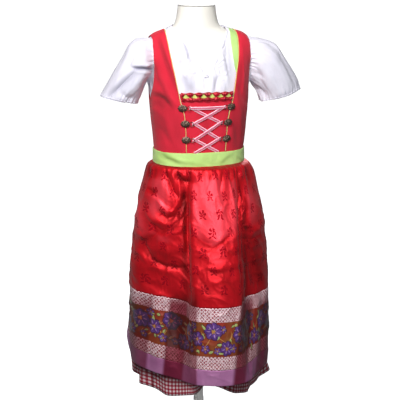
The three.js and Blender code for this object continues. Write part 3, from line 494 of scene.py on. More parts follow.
def ribbon_material():
    """A narrow pink ribbon with white edges and a red thread line along each side of its middle"""
    mat, tree, shader = new_material("lace_ribbon", 0.6)
    coords, across, down = cloth_axes(tree)
    place = math_node(tree, "MULTIPLY", down, -1 / (RIBBON_WIDE * MM))
    off = math_node(tree, "ABSOLUTE", math_node(tree, "SUBTRACT", place, 0.5))
    edge = math_node(tree, "GREATER_THAN", off, 0.30)
    line = math_node(tree, "COMPARE", off, 0.12, 0.07)
    ticks = math_node(tree, "PINGPONG", math_node(tree, "MULTIPLY", across, 1 / RIBBON_PERIOD), 0.5)
    tick = math_node(tree, "GREATER_THAN", ticks, 0.25)
    pink = blend(tree, tick, rgb(246, 176, 194), rgb(228, 112, 142))
    lined = blend(tree, line, pink, rgb(190, 40, 80))
    tree.links.new(blend(tree, edge, lined, rgb(252, 214, 226)), shader.inputs["Base Color"])
    woven(tree, shader, coords, strength=0.15)
    return mat


def satin_material(name, light, dark, rough, shine=0.75, metal=0.25, painted_shade_tint=FOLD_PAINTED_SHADE, painted_highlight=None):
    mat, tree, shader = new_material(name, rough, metal)
    coords, _, _ = cloth_axes(tree)
    colour = blend(tree, patchy(tree, coords, 22, 5.0, 2.0, -0.5), light, dark)
    # painted highlights where the cloth's painted light is high, and painted shade where it is low
    colour = with_painted_highlight(tree, colour, painted_highlight) if painted_highlight else colour
    colour = with_painted_shade(tree, colour, painted_shade_tint) if painted_shade_tint else colour
    tree.links.new(colour, shader.inputs["Base Color"])
    shader.inputs["Specular IOR Level"].default_value = shine
    shader.inputs["Sheen Weight"].default_value = 0.05
    stretched = node(tree, "Mapping", {"Vector": coords, "Scale": (500, 60, 1)})
    threads = node(tree, "TexNoise", {"Vector": stretched.outputs[0], "Scale": 4, "Detail": 2.0})
    bumped(tree, shader, threads.outputs[0], 0.06, 0.001)
    return mat


# The lace bands' edges, in millimetres from the border's top
LACE_BANDS = ((-5, 37), (128, 175))


def border_material():
    """The woven border: a lace band, a shot ground, and a narrower lace band"""
    mat, tree, shader = new_material("border_satin", 0.45, 0.15)
    coords, across, down = cloth_axes(tree)
    depth = math_node(tree, "MULTIPLY", down, -1000)
    lace = [math_node(tree, "COMPARE", depth, (low + high) / 2, (high - low) / 2)
            for low, high in LACE_BANDS]
    is_lace = math_node(tree, "MAXIMUM", *lace)
    # diamonds of white threads, with specks
    x = math_node(tree, "MULTIPLY", across, 1 / LACE_PERIOD)
    y = math_node(tree, "MULTIPLY", down, 1 / LACE_PERIOD)
    one = math_node(tree, "PINGPONG", math_node(tree, "ADD", x, y), 0.5)
    two = math_node(tree, "PINGPONG", math_node(tree, "SUBTRACT", x, y), 0.5)
    line = math_node(tree, "LESS_THAN", math_node(tree, "MINIMUM", one, two), 0.12)
    dots = node(tree, "TexVoronoi", {"Vector": coords, "Scale": 230}, feature="F1")
    speck = math_node(tree, "LESS_THAN", dots.outputs[0], 0.42)
    threads = math_node(tree, "MAXIMUM", line, math_node(tree, "MULTIPLY", speck, 0.85))
    lace_colour = blend(tree, threads, rgb(158, 62, 76), rgb(248, 222, 226))
    # the ground turns from red to gold brown across the cloth
    broad = patchy(tree, coords, 13, 2.0, 3.0, -1.05)
    ground = blend(tree, broad, rgb(176, 44, 30), rgb(138, 92, 34))
    mottled = patchy(tree, coords, 700, 2.0, 1.4, -0.45)
    ground = blend(tree, mottled, ground, rgb(110, 30, 24))
    # painted shade in the folds and on the facets that turn from the light
    colour = with_painted_shade(tree, blend(tree, is_lace, ground, lace_colour))
    tree.links.new(colour, shader.inputs["Base Color"])
    bumped(tree, shader, math_node(tree, "MULTIPLY", threads, is_lace), 0.25, 0.0006)
    return mat


def hard_material(name, light, dark, rough, metal=0.0, scale=60, strength=0.1, coat=0.0):
    """A finish with mottling in the object's own space, for the form, the stand and the hooks"""
    mat, tree, shader = new_material(name, rough, metal)
    place = node(tree, "TexCoord").outputs["Object"]
    mottle = node(tree, "TexNoise", {"Vector": place, "Scale": scale, "Detail": 4.0})
    share = math_node(tree, "MULTIPLY_ADD", mottle.outputs[0], 2.2, -0.6, clamp=True)
    tree.links.new(blend(tree, share, light, dark), shader.inputs["Base Color"])
    bumped(tree, shader, mottle.outputs[0], strength, 0.0008)
    shader.inputs["Coat Weight"].default_value = coat
    return mat


# Cloths with a shade tint get painted shade in their folds, in that tint
white = (rgb(238, 236, 246), rgb(232, 229, 242))
white_cotton = plain_cloth("white_cotton", *white, sheen=0.05, wrinkle=120, strength=0.2, painted_shade_tint=WHITE_PAINTED_SHADE)
white_cord = plain_cloth("white_cord", *white, sheen=0.05, wrinkle=120, strength=0.2)
red_cotton = plain_cloth("red_cotton", rgb(222, 26, 56), rgb(206, 18, 46), sheen=0.08, strength=0.14,
                         painted_shade_tint=RED_PAINTED_SHADE)
green_cotton = plain_cloth("green_cotton", rgb(200, 234, 146), rgb(182, 220, 124), strength=0.2, wrinkle=60)
green_band = plain_cloth("green_band", rgb(198, 232, 142), rgb(180, 218, 120), strength=0.2, wrinkle=60,
                         painted_shade_tint=GREEN_PAINTED_SHADE)
piping_green = plain_cloth("piping_green", rgb(232, 214, 128), rgb(222, 196, 106), strength=0.1)
ruche_taffeta = satin_material("ruche_taffeta", rgb(206, 18, 44), rgb(140, 4, 26), 0.36, 0.6, 0.4, None)
ruche_green = plain_cloth("ruche_green", rgb(220, 222, 128), rgb(182, 200, 96), strength=0.2, wrinkle=60)
gingham_cotton = gingham_material()
lace_ribbon = ribbon_material()
# The red satin gets painted shade in its folds and a painted highlight on its lit crests
red_satin = satin_material("red_satin", rgb(244, 24, 40), rgb(230, 14, 32), 0.46, 0.3, 0.5, SATIN_PAINTED_SHADE,
                           painted_highlight=rgb(255, 66, 80))
rose_satin = satin_material("rose_satin", rgb(190, 8, 34), rgb(168, 4, 26), 0.62, 0.1, 0.3, SATIN_PAINTED_SHADE)
border_satin = border_material()
purple_taffeta = satin_material("purple_taffeta", rgb(212, 148, 196), rgb(184, 114, 166), 0.45, 0.15, 0.35)
antique_brass = hard_material("antique_brass", rgb(140, 116, 102), rgb(26, 16, 14), 0.34, 0.8, 520, 0.9)
form_shell = hard_material("form_shell", rgb(242, 239, 231), rgb(238, 234, 224), 0.5, 0.0, 14, 0.02, 0.15)
stand_paint = hard_material("stand_paint", rgb(238, 237, 233), rgb(228, 227, 222), 0.4, 0.0, 90, 0.05, 0.3)
form_rim = hard_material("form_rim", rgb(70, 70, 72), rgb(44, 44, 46), 0.5)
# The embroidery gets the same painted light as the cloth that it lies on
THREADS = {"rough": 0.5, "painted_shade_tint": FOLD_PAINTED_SHADE}
petal_purple = plain_cloth("petal_purple", rgb(112, 62, 160), rgb(50, 20, 84), patch=110, **THREADS)
petal_pale = plain_cloth("petal_pale", rgb(190, 150, 200), rgb(150, 104, 172), **THREADS)
leaf_green = plain_cloth("leaf_green", rgb(198, 212, 128), rgb(136, 152, 68), patch=150, **THREADS)
thread_gold = plain_cloth("thread_gold", rgb(214, 160, 84), rgb(178, 114, 52), patch=220, **THREADS)
thread_dark = plain_cloth("thread_dark", rgb(88, 22, 44), rgb(56, 14, 34), patch=220, **THREADS)


# Dress form and stand. The rings that close the form: the ring's size and how far beyond its end it lies.
CROWN_RINGS = ((0.985, 1.2), (0.9, 1.5), (0.5, 1.6), (0.05, 1.6))
FOOT_RINGS = ((0.1, 4), (0.8, 4), (0.97, 2.5))
# The texture's width round a cord, in metres, and the rounding of a turned part's edges
CORD_ROUND = 0.004
EDGE_ROUND = 0.8


def add_form():
    rings, sides = fine(220), fine(96)
    angle = np.linspace(0, 2 * math.pi, sides, endpoint=False)
    low, high = WAIST_Z + FORM[0][0], WAIST_Z + FORM[-1][0]
    z = np.linspace(low, high, rings)
    half, front, back, square, aside = [column[:, None] for column in section_at(z)]
    c, s = np.cos(angle)[None], np.sin(angle)[None]
    power = 2 / square
    x = aside + half * np.sign(c) * np.abs(c) ** power
    y = np.where(s < 0, front, back) * np.sign(s) * np.abs(s) ** power
    body = np.stack([x, y, np.broadcast_to(z[:, None], x.shape)], -1)
    middle = np.array([FORM[-1][5], 0, 0])
    crown = [(body[-1] - middle) * [share, share, 1] + middle + [0, 0, rise] for share, rise in CROWN_RINGS]
    foot = [body[0] * [share, share, 1] - [0, 0, drop] for share, drop in FOOT_RINGS]
    all_rings = np.stack([*foot, *body, *crown])
    faces = ring_faces(len(all_rings), sides, ("last", "first"))
    torso = mesh_object("torso", all_rings.reshape(-1, 3), faces)
    dressed(torso, form_shell, ["form_torso"])
    add_cord("neck_rim", body[-1] + [0, 0, 0.4], 0.7, form_rim, closed=True)


def ring_faces(count, sides, caps=(), closed=False):
    """The faces between rings of points that follow each other, and caps on the first or the last ring"""
    index = np.arange(count * sides).reshape(count, sides)
    if closed:
        index = np.concatenate([index, index[:1]])
    nxt = np.roll(index, -1, 1)
    faces = np.stack([index[:-1], nxt[:-1], nxt[1:], index[1:]], -1).reshape(-1, 4).tolist()
    ends = {"first": index[0][::-1].tolist(), "last": index[-1].tolist()}
    return faces + [ends[cap] for cap in caps]


def tube_mesh(name, path, radius, closed=False, sides=8):
    """A round cord of the given radius along a path of points. radius may be one for each point."""
    path = np.asarray(path, float)
    way = np.roll(path, -1, 0) - np.roll(path, 1, 0) if closed else np.gradient(path, axis=0)
    way = unit(way)
    helper = np.where(np.abs(way[:, 2:3]) < 0.8, np.array([[0, 0, 1.0]]), np.array([[0, 1.0, 0]]))
    side = unit(np.cross(way, helper))
    rise = np.cross(side, way)
    angle = np.linspace(0, 2 * math.pi, sides, endpoint=False)
    reach = np.broadcast_to(radius, len(path))[:, None, None]
    rings = path[:, None] + reach * (
        np.cos(angle)[None, :, None] * side[:, None] + np.sin(angle)[None, :, None] * rise[:, None]
    )
    faces = ring_faces(len(path), sides, () if closed else ("first", "last"), closed)
    rows = len(path) + closed
    run = np.linspace(0, np.linalg.norm(np.diff(path, axis=0), axis=1).sum() * MM, rows)
    flat = []
    for r in range(rows - 1):
        for i in range(sides):
            u, w = i / sides * CORD_ROUND, (i + 1) / sides * CORD_ROUND
            flat += [(u, run[r]), (w, run[r]), (w, run[r + 1]), (u, run[r + 1])]
    if not closed:
        flat += [(0.0, 0.0)] * (2 * sides)
    return mesh_object(name, rings.reshape(-1, 3), faces, flat)


def add_cord(name, path, radius, material, replaces=(), closed=False):
    return dressed(tube_mesh(name, path, radius, closed), material, replaces)


def softened(path, turns=12):
    """A path with its small kinks evened out"""
    for _ in range(turns):
        path = np.concatenate([path[:1], (path[:-2] + 2 * path[1:-1] + path[2:]) / 4, path[-1:]])
    return path


def lathe(name, profile, material, node_name):
    profile = np.asarray(profile, float)
    sides = fine(96)
    angle = np.linspace(0, 2 * math.pi, sides, endpoint=False)
    rings = np.stack(
        [np.outer(profile[:, 0], np.cos(angle)), np.outer(profile[:, 0], np.sin(angle)),
         np.repeat(profile[:, 1:2], sides, 1)], -1)
    obj = mesh_object(name, rings.reshape(-1, 3), ring_faces(len(profile), sides, ("first", "last")))
    edge = obj.modifiers.new("edges", "BEVEL")
    edge.width = EDGE_ROUND * MM
    edge.segments = 2
    edge.limit_method = "ANGLE"
    return dressed(obj, material, [node_name])


def add_stand():
    lathe("base_plate", [(20, 0), (140, 0), (140, 4), (139, 6.5), (136, 8), (31, 8), (28, 9.5),
                         (22.5, 24), (20, 26), (8, 26)], stand_paint, "form_base")
    lathe("pole", [(6, 26.3), (12, 26.3), (12, 70), (13.4, 71), (13.4, 92), (12, 93), (12, 470), (14, 471),
                   (14, 505), (12, 506), (12, 540.7), (6, 540.7)], stand_paint, "form_pole")


# Bodice and blouse edges
def edge_places(*places):
    """Places from their x, y and height above the waist"""
    return [(x, y, WAIST_Z + above) for x, y, above in places]


BODICE_FRONT_EDGE = edge_places(
    (47, -72, 0), (48, -74, 34), (49.5, -77, 68), (52, -79, 103), (54.5, -78, 121), (60.5, -76, 143),
    (67, -73, 178), (73, -68, 210), (78.5, -61, 238), (83, -50, 264), (85, -34, 288), (85.5, -17, 305),
    (85, 0, 312),
)
BODICE_BACK_EDGE = edge_places(
    (0, 78, 0), (0, 79, 34), (0, 81, 68), (0, 84, 105), (0, 88, 150), (0, 90, 190), (0, 86, 226),
    (14, 80, 250), (38, 70, 268), (60, 52, 286), (76, 28, 302), (85, 0, 312),
)
BLOUSE_LOW = 52
BLOUSE_FRONT_EDGE = edge_places(
    (0, -84, BLOUSE_LOW), (0, -88, 90), (0, -91, 128), (0, -90, 164), (2, -85, 200), (10, -79, 218),
    (19, -74, 234), (30, -67, 252), (41, -58, 270), (53, -44, 288), (62, -24, 304), (65, 0, 314),
)
BLOUSE_BACK_EDGE = edge_places(
    (0, 79, BLOUSE_LOW), (0, 82, 90), (0, 85, 128), (0, 87, 164), (0, 87, 200), (0, 84, 230),
    (0, 76, 258), (0, 66, 284), (4, 55, 304), (28, 46, 311), (52, 28, 314), (65, 0, 314),
)
BODICE_SIDE = [(110, 0), (112, 50), (117, 105)]
BLOUSE_SIDE = [(108, BLOUSE_LOW), (113, 95), (117, 138)]
ARMHOLE = {"x": 121.3, "up": 238, "sleeve": 1.1}
FRONT, BACK = -1, 1
SIDES = (("left", 1), ("right", -1))


def armhole_point(angle, spread, lift):
    angle = np.asarray(angle, float)
    spread = np.broadcast_to(spread, angle.shape)
    zero = np.zeros_like(angle)
    ray = np.stack([zero, np.sin(angle), np.cos(angle)], -1)
    centre = np.array([ARMHOLE["x"], 0, WAIST_Z + ARMHOLE["up"]])
    reach = halved(zero + 5, zero + 110, lambda r: outside(centre + ray * r[..., None]) < BLOUSE["lift"])
    edge = centre + ray * (reach + spread)[..., None]
    x = halved(zero + 50, zero + 150,
               lambda t: outside(np.stack([t, edge[..., 1], edge[..., 2]], -1)) < lift)
    return np.stack([x, edge[..., 1], edge[..., 2]], -1)


def side_and_armhole(seam, side, top_spread, low_spread, lift):
    angle = side * math.pi * (1 - np.arange(9) / 8)
    low = 0.5 - 0.5 * np.cos(angle)
    loop = armhole_point(angle, mix(top_spread, low_spread, low**3), lift)
    return edge_through([(x, 0, WAIST_Z + above) for x, above in seam] + loop.tolist())


def body_panel(inner, outer, lift, sign, u, v):
    a, b = inner(v), outer(v)
    angle = mix(np.arctan2(a[..., 1], a[..., 0]), np.arctan2(b[..., 1], b[..., 0]), u)
    reach = mix(np.hypot(a[..., 0], a[..., 1]), np.hypot(b[..., 0], b[..., 1]), u)
    z = mix(a[..., 2], b[..., 2], u)
    return on_form(np.stack([sign * reach * np.cos(angle), reach * np.sin(angle), z], -1), lift)


seam_edge = edge_through(BODICE_FRONT_EDGE)


def seam_at_height(z):
    z = np.asarray(z, float)
    return halved(np.zeros_like(z), np.ones_like(z), lambda t: seam_edge(t)[..., 2] < z)


def centre_front(across, z, lift):
    edge = seam_edge(seam_at_height(z))
    return on_form(np.stack([mix(-edge[..., 0], edge[..., 0], across), edge[..., 1] - 8, z], -1), lift)


def soft(wide, deep, *path):
    """A crease or a painted shade with a round profile: its width and its path in the photo's pixels, and
    its depth in millimetres, where below 0 is a trough, or in parts of the painted light"""
    return wide, deep, False, path


def sharp(wide, deep, *path):
    return wide, deep, True, path


def widened(table, factor, extra):
    return [(factor * wide + extra, *rest) for wide, *rest in table]


def along_paths(px, py, table):
    """The sum of listed creases, painted shades or painted highlights at places in the photo"""
    total = np.zeros_like(px)
    for wide, deep, is_sharp, path in table:
        path = np.asarray(path, float)
        near = np.full_like(px, 1e9)
        run = np.zeros_like(px)
        steps = np.linalg.norm(np.diff(path, axis=0), axis=1)
        before = 0.0
        for (x0, y0), (x1, y1), step in zip(path[:-1], path[1:], steps):
            t = np.clip(((px - x0) * (x1 - x0) + (py - y0) * (y1 - y0)) / step**2, 0, 1)
            gap = np.hypot(px - x0 - t * (x1 - x0), py - y0 - t * (y1 - y0))
            closer = gap < near
            near = np.where(closer, gap, near)
            run = np.where(closer, before + t * step, run)
            before += step
        share = run / before
        taper = np.sqrt(np.clip(4 * share * (1 - share) + 0.12, 0, 1))
        gap = near / (0.7 * wide)
        total += deep * taper * (np.exp(-gap) if is_sharp else np.exp(-(gap**2)))
    return total


BODICE_CREASES = [
    sharp(2.4, 2.6, (158, 38), (166, 62), (174, 82), (181, 99)),
    sharp(2.6, -2.0, (162, 40), (170, 62), (177, 82)),
    soft(3, 1.8, (153, 56), (160, 76), (168, 94), (176, 104)),
    sharp(2.4, 2.4, (153, 92), (160, 92.5), (167, 97), (173, 106)),
    soft(3, -1.8, (153, 96), (162, 98), (170, 105)),
    soft(5, 1.4, (152, 108), (160, 112), (166, 120)),
    soft(4, 1.4, (165, 108), (168, 124), (172, 140)),
    soft(4, -1.4, (156, 126), (164, 132), (172, 146)),
    sharp(3, 1.8, (242, 50), (243, 74), (242, 96)),
    soft(3, -1.6, (238, 84), (242, 96), (246, 104)),
    sharp(3, 1.8, (236, 98), (240, 112), (240, 136)),
    soft(4, -1.4, (232, 118), (236, 132), (238, 148)),
]


# Painted shade: where the cloth is painted darker because it lies in a fold, by place in the photo
BODICE_SHADE = [
    soft(1.6, 0.5, (159, 39), (167, 62), (175, 82), (181, 99)),
    soft(2, 0.3, (154, 60), (160, 78), (168, 95)),
    soft(2, 0.5, (152, 92), (160, 93), (167, 98), (173, 107)),
    soft(5, 0.35, (155, 99), (161, 101), (166, 108)),
    soft(9, 0.3, (156, 108), (160, 122), (163, 142)),
    soft(5, 0.2, (176, 112), (178, 130), (180, 148)),
    soft(2.4, 0.35, (248, 48), (249, 78), (247, 104)),
    soft(1.6, 0.25, (241, 56), (240, 80), (237, 100)),
    soft(5, 0.35, (243, 104), (241, 124), (240, 148)),
    soft(2.4, 0.25, (233, 110), (234, 128), (233, 148)),
    soft(4, 0.2, (200, 112), (206, 124), (203, 146)),
]
BLOUSE_SHADE = [
    soft(1.6, 0.35, (183, 41), (187, 50), (189, 57), (194, 63)),
    soft(2, 0.18, (178, 48), (180, 58), (181, 66)),
    soft(4, 0.4, (182, 76), (186, 81), (189, 87), (190, 93)),
    soft(1.6, 0.2, (193, 68), (192, 78), (192, 90)),
    soft(1.4, 0.3, (207, 54), (206, 63), (204, 70)),
    soft(1.6, 0.25, (206, 73), (206, 80), (207, 88)),
    soft(1.8, 0.18, (222, 36), (221, 50), (224, 64), (227, 76)),
    soft(1.8, 0.2, (229, 42), (228, 58), (230, 74)),
    soft(1.8, 0.2, (217, 76), (215, 84), (214, 92)),
    soft(1.6, 0.18, (224, 84), (223, 90)),
    soft(1.6, 0.14, (175, 62), (180, 62), (184, 60)),
]
SLEEVE_SHADE = [
    soft(1.3, 0.85, (133, 68), (142, 68.4), (153, 68.7)),
    soft(2.6, 0.45, (137, 71), (127, 79), (117, 88), (108, 97)),
    soft(5, 0.16, (142, 72), (132, 82), (120, 94)),
    soft(3, 0.3, (152, 74), (147, 86), (143, 99)),
    soft(1.6, 0.5, (100, 99.5), (112, 101), (126, 102), (139, 105)),
    soft(9, 0.12, (252, 46), (264, 52), (276, 66), (284, 84)),
    soft(2.4, 0.5, (252, 87), (259, 91), (267, 100)),
    soft(1.4, 0.5, (268, 100.5), (284, 95), (299, 89)),
    soft(1.6, 0.12, (259, 44), (270, 52), (281, 64), (290, 80)),
]
APRON_SHADE = [
    soft(1.6, 0.55, (147, 162), (165, 166), (185, 168.5), (200, 169)),
    soft(1.6, 0.55, (200, 169), (222, 168), (240, 164), (249, 161)),
    soft(4, 0.6, (184.5, 188), (185, 220), (185, 262), (187, 303)),
    soft(2.8, 0.8, (177, 170), (180, 178), (186, 181), (191, 181)),
    soft(1.8, 0.6, (190, 169), (190, 180)),
    soft(1.8, 0.6, (166, 168), (168, 178), (172, 188)),
    soft(1.6, 0.4, (156, 167), (155, 177)),
    soft(2, 0.6, (150, 165), (149, 178)),
    soft(2, 0.5, (145, 166), (141, 182)),
    soft(1.6, 0.35, (203, 170), (202, 177)),
    soft(1.6, 0.35, (212, 170), (210, 180)),
    soft(1.6, 0.35, (222, 171), (222, 180)),
    soft(1.8, 0.45, (230, 169), (231, 180)),
    soft(2, 0.6, (237, 168), (239, 184), (241, 200)),
    soft(2, 0.5, (246, 167), (249, 182)),
    soft(2, 0.6, (149, 189), (153, 192), (156, 190)),
    soft(5, 0.45, (179, 190), (184, 200), (184, 210)),
    soft(4, 0.5, (158, 214), (167, 221), (176, 217), (183, 207)),
    soft(2.6, 0.45, (153, 224), (162, 232), (171, 230), (184, 217)),
    soft(2.6, 0.4, (136, 241), (146, 241), (156, 236)),
    soft(2.8, 0.6, (144, 245), (148, 253), (156, 261), (170, 267), (187, 268)),
    soft(6, 0.3, (155, 248), (165, 256), (178, 258)),
    soft(8, 0.25, (136, 264), (142, 282)),
    soft(2, 0.35, (194, 238), (204, 246), (213, 250), (222, 243), (229, 236)),
    soft(2.4, 0.35, (226, 240), (228, 250), (236, 256)),
    soft(2.2, 0.35, (206, 270), (216, 274), (228, 271), (240, 268)),
    soft(2.4, 0.3, (197, 276), (205, 286), (211, 297)),
    soft(3, 0.3, (222, 278), (232, 286), (238, 296)),
    soft(3.4, 0.6, (243, 200), (244, 230), (245, 262), (247, 296)),
    soft(2.6, 0.5, (244, 225), (249, 231), (255, 229)),
    soft(3, 0.5, (246, 240), (254, 242), (263, 236)),
    soft(8, 0.6, (254, 246), (256, 264), (260, 286)),
]
# The painted light of the border's and the hem's facets, darker where they turn from the light: place
# across the photo, and painted light
APRON_FACET_PAINTED_LIGHT = [
    (126, 0.3), (133, 0.24), (147, 0.2), (151, 0.8), (164, 0.8), (168, 0.04), (184, 0.04), (187, 0.26),
    (195.5, 0.24), (198.5, 1.0), (235, 1.0), (240, 0.06), (248, 0.1), (251, 0.5), (257, 0.45), (260, 0.08),
    (268, 0.06),
]
# The painted light of the skirt's pleats below the apron, darker where they turn from the light: place and
# painted light
SKIRT_FACET_PAINTED_LIGHT = [
    (126, 0.4), (137, 0.4), (139, 0.15), (141, 0.75), (155, 0.8), (157.5, 0.25), (160, 0.9), (190, 0.85),
    (198, 0.5), (202, 0.2), (222, 0.2), (226, 0.3), (248, 0.25), (252, 0.5), (262, 0.5), (270, 0.35),
]


# Painted highlights where the satin's crests face the light, and the painted shade of the waistband's
# creases
APRON_PAINTED_HIGHLIGHTS = [
    soft(15, 0.34, (210, 176), (214, 200), (218, 226), (220, 252)),
    soft(7, 0.2, (196, 182), (198, 210), (200, 240)),
    soft(6, 0.22, (232, 176), (234, 200), (234, 232)),
    soft(12, 0.26, (160, 176), (160, 200), (156, 212)),
    soft(7, 0.2, (140, 196), (137, 214), (142, 232)),
    soft(5, 0.2, (150, 205), (156, 214), (164, 214)),
    soft(6, 0.2, (247, 188), (252, 206), (252, 222)),
    soft(5, 0.12, (150, 232), (160, 238), (170, 242)),
    soft(6, 0.14, (206, 256), (216, 262), (224, 262)),
    soft(6, 0.1, (228, 262), (232, 276), (228, 292)),
]
BAND_SHADE = [
    soft(1.2, 0.4, (159, 149), (168, 156), (177, 161), (186, 163.5)),
    soft(1.4, 0.3, (163, 155), (172, 160), (180, 163)),
    soft(1.2, 0.25, (186, 161), (195, 164), (206, 166)),
    soft(1.0, 0.35, (221, 163), (227, 157), (232, 154)),
    soft(1.4, 0.2, (206, 162), (216, 164), (226, 164)),
    soft(1.0, 0.3, (236, 156), (241, 160), (246, 160)),
    soft(1.2, 0.2, (150, 157), (158, 161), (168, 164)),
]


def painted_fold_shade(points, table, least=0.0, hidden=0.85):
    """A cloth's painted light: 1 less the painted shade of its folds on the side that the photo shows, and
    even elsewhere
    """
    px, py, front = in_view(points)
    painted_light = 1 - along_paths(px, py, widened(table, 1.5, 0.8))
    shown = ramp(front, -25, 15)
    return np.clip(mix(hidden, painted_light, shown), least, 1)


# Painted light across a cloth's facets, darker where they turn from the light, leaning with the height
def painted_facet_light(px, py, facets):
    places = [place for place, _ in facets]
    lean = 0.1 * (py - 340) * (1 - bell(px - 198, 12))
    return curve_through(places, [painted_light for _, painted_light in facets])(px + lean)


def panel_points(inner, outer, lift, sign, rows, cols):
    u, v = grid(fine(rows), fine(cols))
    # the seam allowance is left free at every edge
    u = mix(0.004, 0.996, u)
    v = mix(0.0012, 0.9988, v)
    points = body_panel(inner, outer, lift, sign, u, v)
    return points if sign > 0 else points[:, ::-1]


def outwards(points, distance):
    """Points moved out from the form's axis side of their surface"""
    normal = normals_of(points)
    away = points * [1, 1, 0]
    facing = np.sign((normal * away).sum(-1, keepdims=True))
    facing[facing == 0] = 1
    return points + normal * facing * np.asarray(distance)[..., None]


def add_bodice():
    edges = {
        "front": (BODICE_FRONT_EDGE, FRONT, 84, 46),
        "back": (BODICE_BACK_EDGE, BACK, 84, 46),
    }
    for part, (inner, side, rows, cols) in edges.items():
        outer = side_and_armhole(BODICE_SIDE, side, 2.5, 14, BODICE["lift"])
        for name, sign in SIDES:
            points = panel_points(edge_through(inner), outer, BODICE["lift"], sign, rows, cols)
            px, py, _ = in_view(points)
            lumps = 0.5 * noise(points[..., 0] / 22 + 7 * sign, points[..., 2] / 34, 5 + side)
            if part == "front":
                lumps = lumps + along_paths(px, py, BODICE_CREASES)
            # the band and the seams hold the cloth down
            u = np.linspace(0, 1, points.shape[1])[None]
            held = ramp(points[..., 2], BAND_HIGH_Z, BAND_HIGH_Z + 14) * np.clip(6 * u * (1 - u), 0, 1)
            points = outwards(points, (1.0 + np.maximum(1.5 * lumps, -1.9)) * held)
            # painted shade in the bodice's folds
            add_cloth(f"bodice_{part}_{name}_cloth", points, BODICE["thick"], red_cotton,
                      [f"bodice_{part}_{name}"],
                      painted_light=painted_fold_shade(points, BODICE_SHADE))
    u, v = grid(fine(60), fine(50))
    z = mix(WAIST_Z + 0.3, WAIST_Z + 165, v)
    points = centre_front(mix(-0.014, 1.014, u), z, BODICE["lift"] - 0.5)
    lumps = 0.35 * noise(points[..., 0] / 20, points[..., 2] / 28, 9)
    points = outwards(points, lumps * ramp(z, BAND_HIGH_Z, BAND_HIGH_Z + 14))
    points = points[::-1]
    # painted shade in the centre panel's folds
    add_cloth("bodice_centre_cloth", points, BODICE["thick"], red_cotton,
              ["bodice_centre"], painted_light=painted_fold_shade(points, BODICE_SHADE))


RUCHE_LOW_Z = WAIST_Z + 147
RUCHE_HIGH_Z = WAIST_Z + 167
RUCHE_LIFT = BODICE["lift"] + BODICE["thick"] / 2 + 0.3
RUCHE_MOUTHS = 6


def add_trim():
    top = 0.97
    for name, sign in SIDES:
        start = float(seam_at_height(BAND_HIGH_Z + 1.5))
        t = np.linspace(start, top, fine(160))
        line = seam_edge(t) * [sign, 1, 1]
        lift = BODICE["lift"] + BODICE["thick"] / 2 + 0.75 + np.linspace(0, 0.5, len(t))
        add_cord(f"piping_cord_{name}", softened(on_form(line, lift)), 0.85, piping_green,
                 [f"piping_{name}"])
    facing_rows = [(212, 1.6), (232, 9), (254, 15), (276, 18), (299, 18), (312, 15)]
    edge = np.array([seam_edge(seam_at_height(WAIST_Z + above)) for above, _ in facing_rows])
    wide = np.array([wide for _, wide in facing_rows])[:, None]
    inner, outer = edge_through(edge - wide * [1, 0.25, 0]), edge_through(edge)
    u, v = grid(fine(50), fine(14))
    points = body_panel(inner, outer, FACING["lift"], 1, mix(0.03, 0.97, u), mix(0.002, 0.998, v))
    add_cloth("neck_facing_cloth", points[::-1], FACING["thick"], green_cotton,
              ["neck_facing"])
    for upper in (True, False):
        add_ruche_lip(upper)
    u, v = grid(fine(12), fine(60))
    z = mix(RUCHE_LOW_Z + 2.5, RUCHE_HIGH_Z - 2.5, v)
    strip = centre_front(mix(0.03, 0.97, u), z, RUCHE_LIFT + 0.6)
    add_cloth("ruche_green_strip", strip[::-1], 1.0, ruche_green,
              ["ruche_backing"])


def add_ruche_lip(upper):
    """One lip of the pleated strip, drawn to the other between its open mouths"""
    middle = (RUCHE_LOW_Z + RUCHE_HIGH_Z) / 2
    side = 1 if upper else -1
    u, v = grid(fine(22), fine(200))
    gape = 0.5 - 0.5 * np.cos(2 * math.pi * RUCHE_MOUTHS * u)
    uneven = 1 + 0.12 * noise(u * RUCHE_MOUTHS, 0 * u, 41 + side)
    open_by = (6.6 if upper else 2.6) * gape ** (1.9 if upper else 0.6) * uneven
    mouth = middle + side * (0.25 + open_by)
    edge = (RUCHE_HIGH_Z if upper else RUCHE_LOW_Z) + side * (1.0 - 2.0 * gape)
    z = mix(edge, mouth, v)
    puff = np.sin(math.pi * np.clip(v, 0, 1))
    pleats = np.abs(noise(u * 46, v * 1.5, 3 + side)) + 0.5 * noise(u * 90, v * 3, 5)
    lift = RUCHE_LIFT + 2.2 + 2.6 * (1 - gape) * puff + 1.7 * pleats * puff
    points = centre_front(mix(0.02, 0.98, u), z, lift)
    name = "upper" if upper else "lower"
    add_cloth(f"ruche_lip_{name}", points, 1.0, ruche_taffeta,
              [f"ruche_{name}"])


# Blouse
BLOUSE_CREASES = [
    sharp(2.4, -3, (173, 36), (180, 50), (184, 62), (184, 76)),
    soft(2.6, 3, (176, 36), (183, 48), (187, 62), (188, 74)),
    sharp(2, -3.5, (182, 40), (187, 48), (189, 57), (194, 64)),
    soft(2.4, 3, (180, 56), (181, 66), (184, 76), (190, 88)),
    soft(3, -5, (182, 76), (186, 80), (189, 88), (190, 94)),
    soft(2, 3, (194, 66), (193, 76), (193, 92)),
    sharp(2, -3, (208, 50), (207, 60), (205, 70)),
    soft(2.4, -3, (206, 72), (206, 80), (207, 92)),
    soft(2.4, 2.6, (224, 36), (221, 50), (224, 66), (227, 80)),
    sharp(2.2, -2.6, (228, 42), (226, 58), (229, 76)),
    soft(2.4, 2.4, (216, 52), (213, 66), (212, 80), (213, 92)),
    soft(2.4, -2.6, (218, 76), (216, 84), (215, 93)),
    soft(2, 2, (224, 84), (224, 90), (223, 94)),
    soft(2.4, 2, (176, 64), (180, 62), (184, 60)),
]


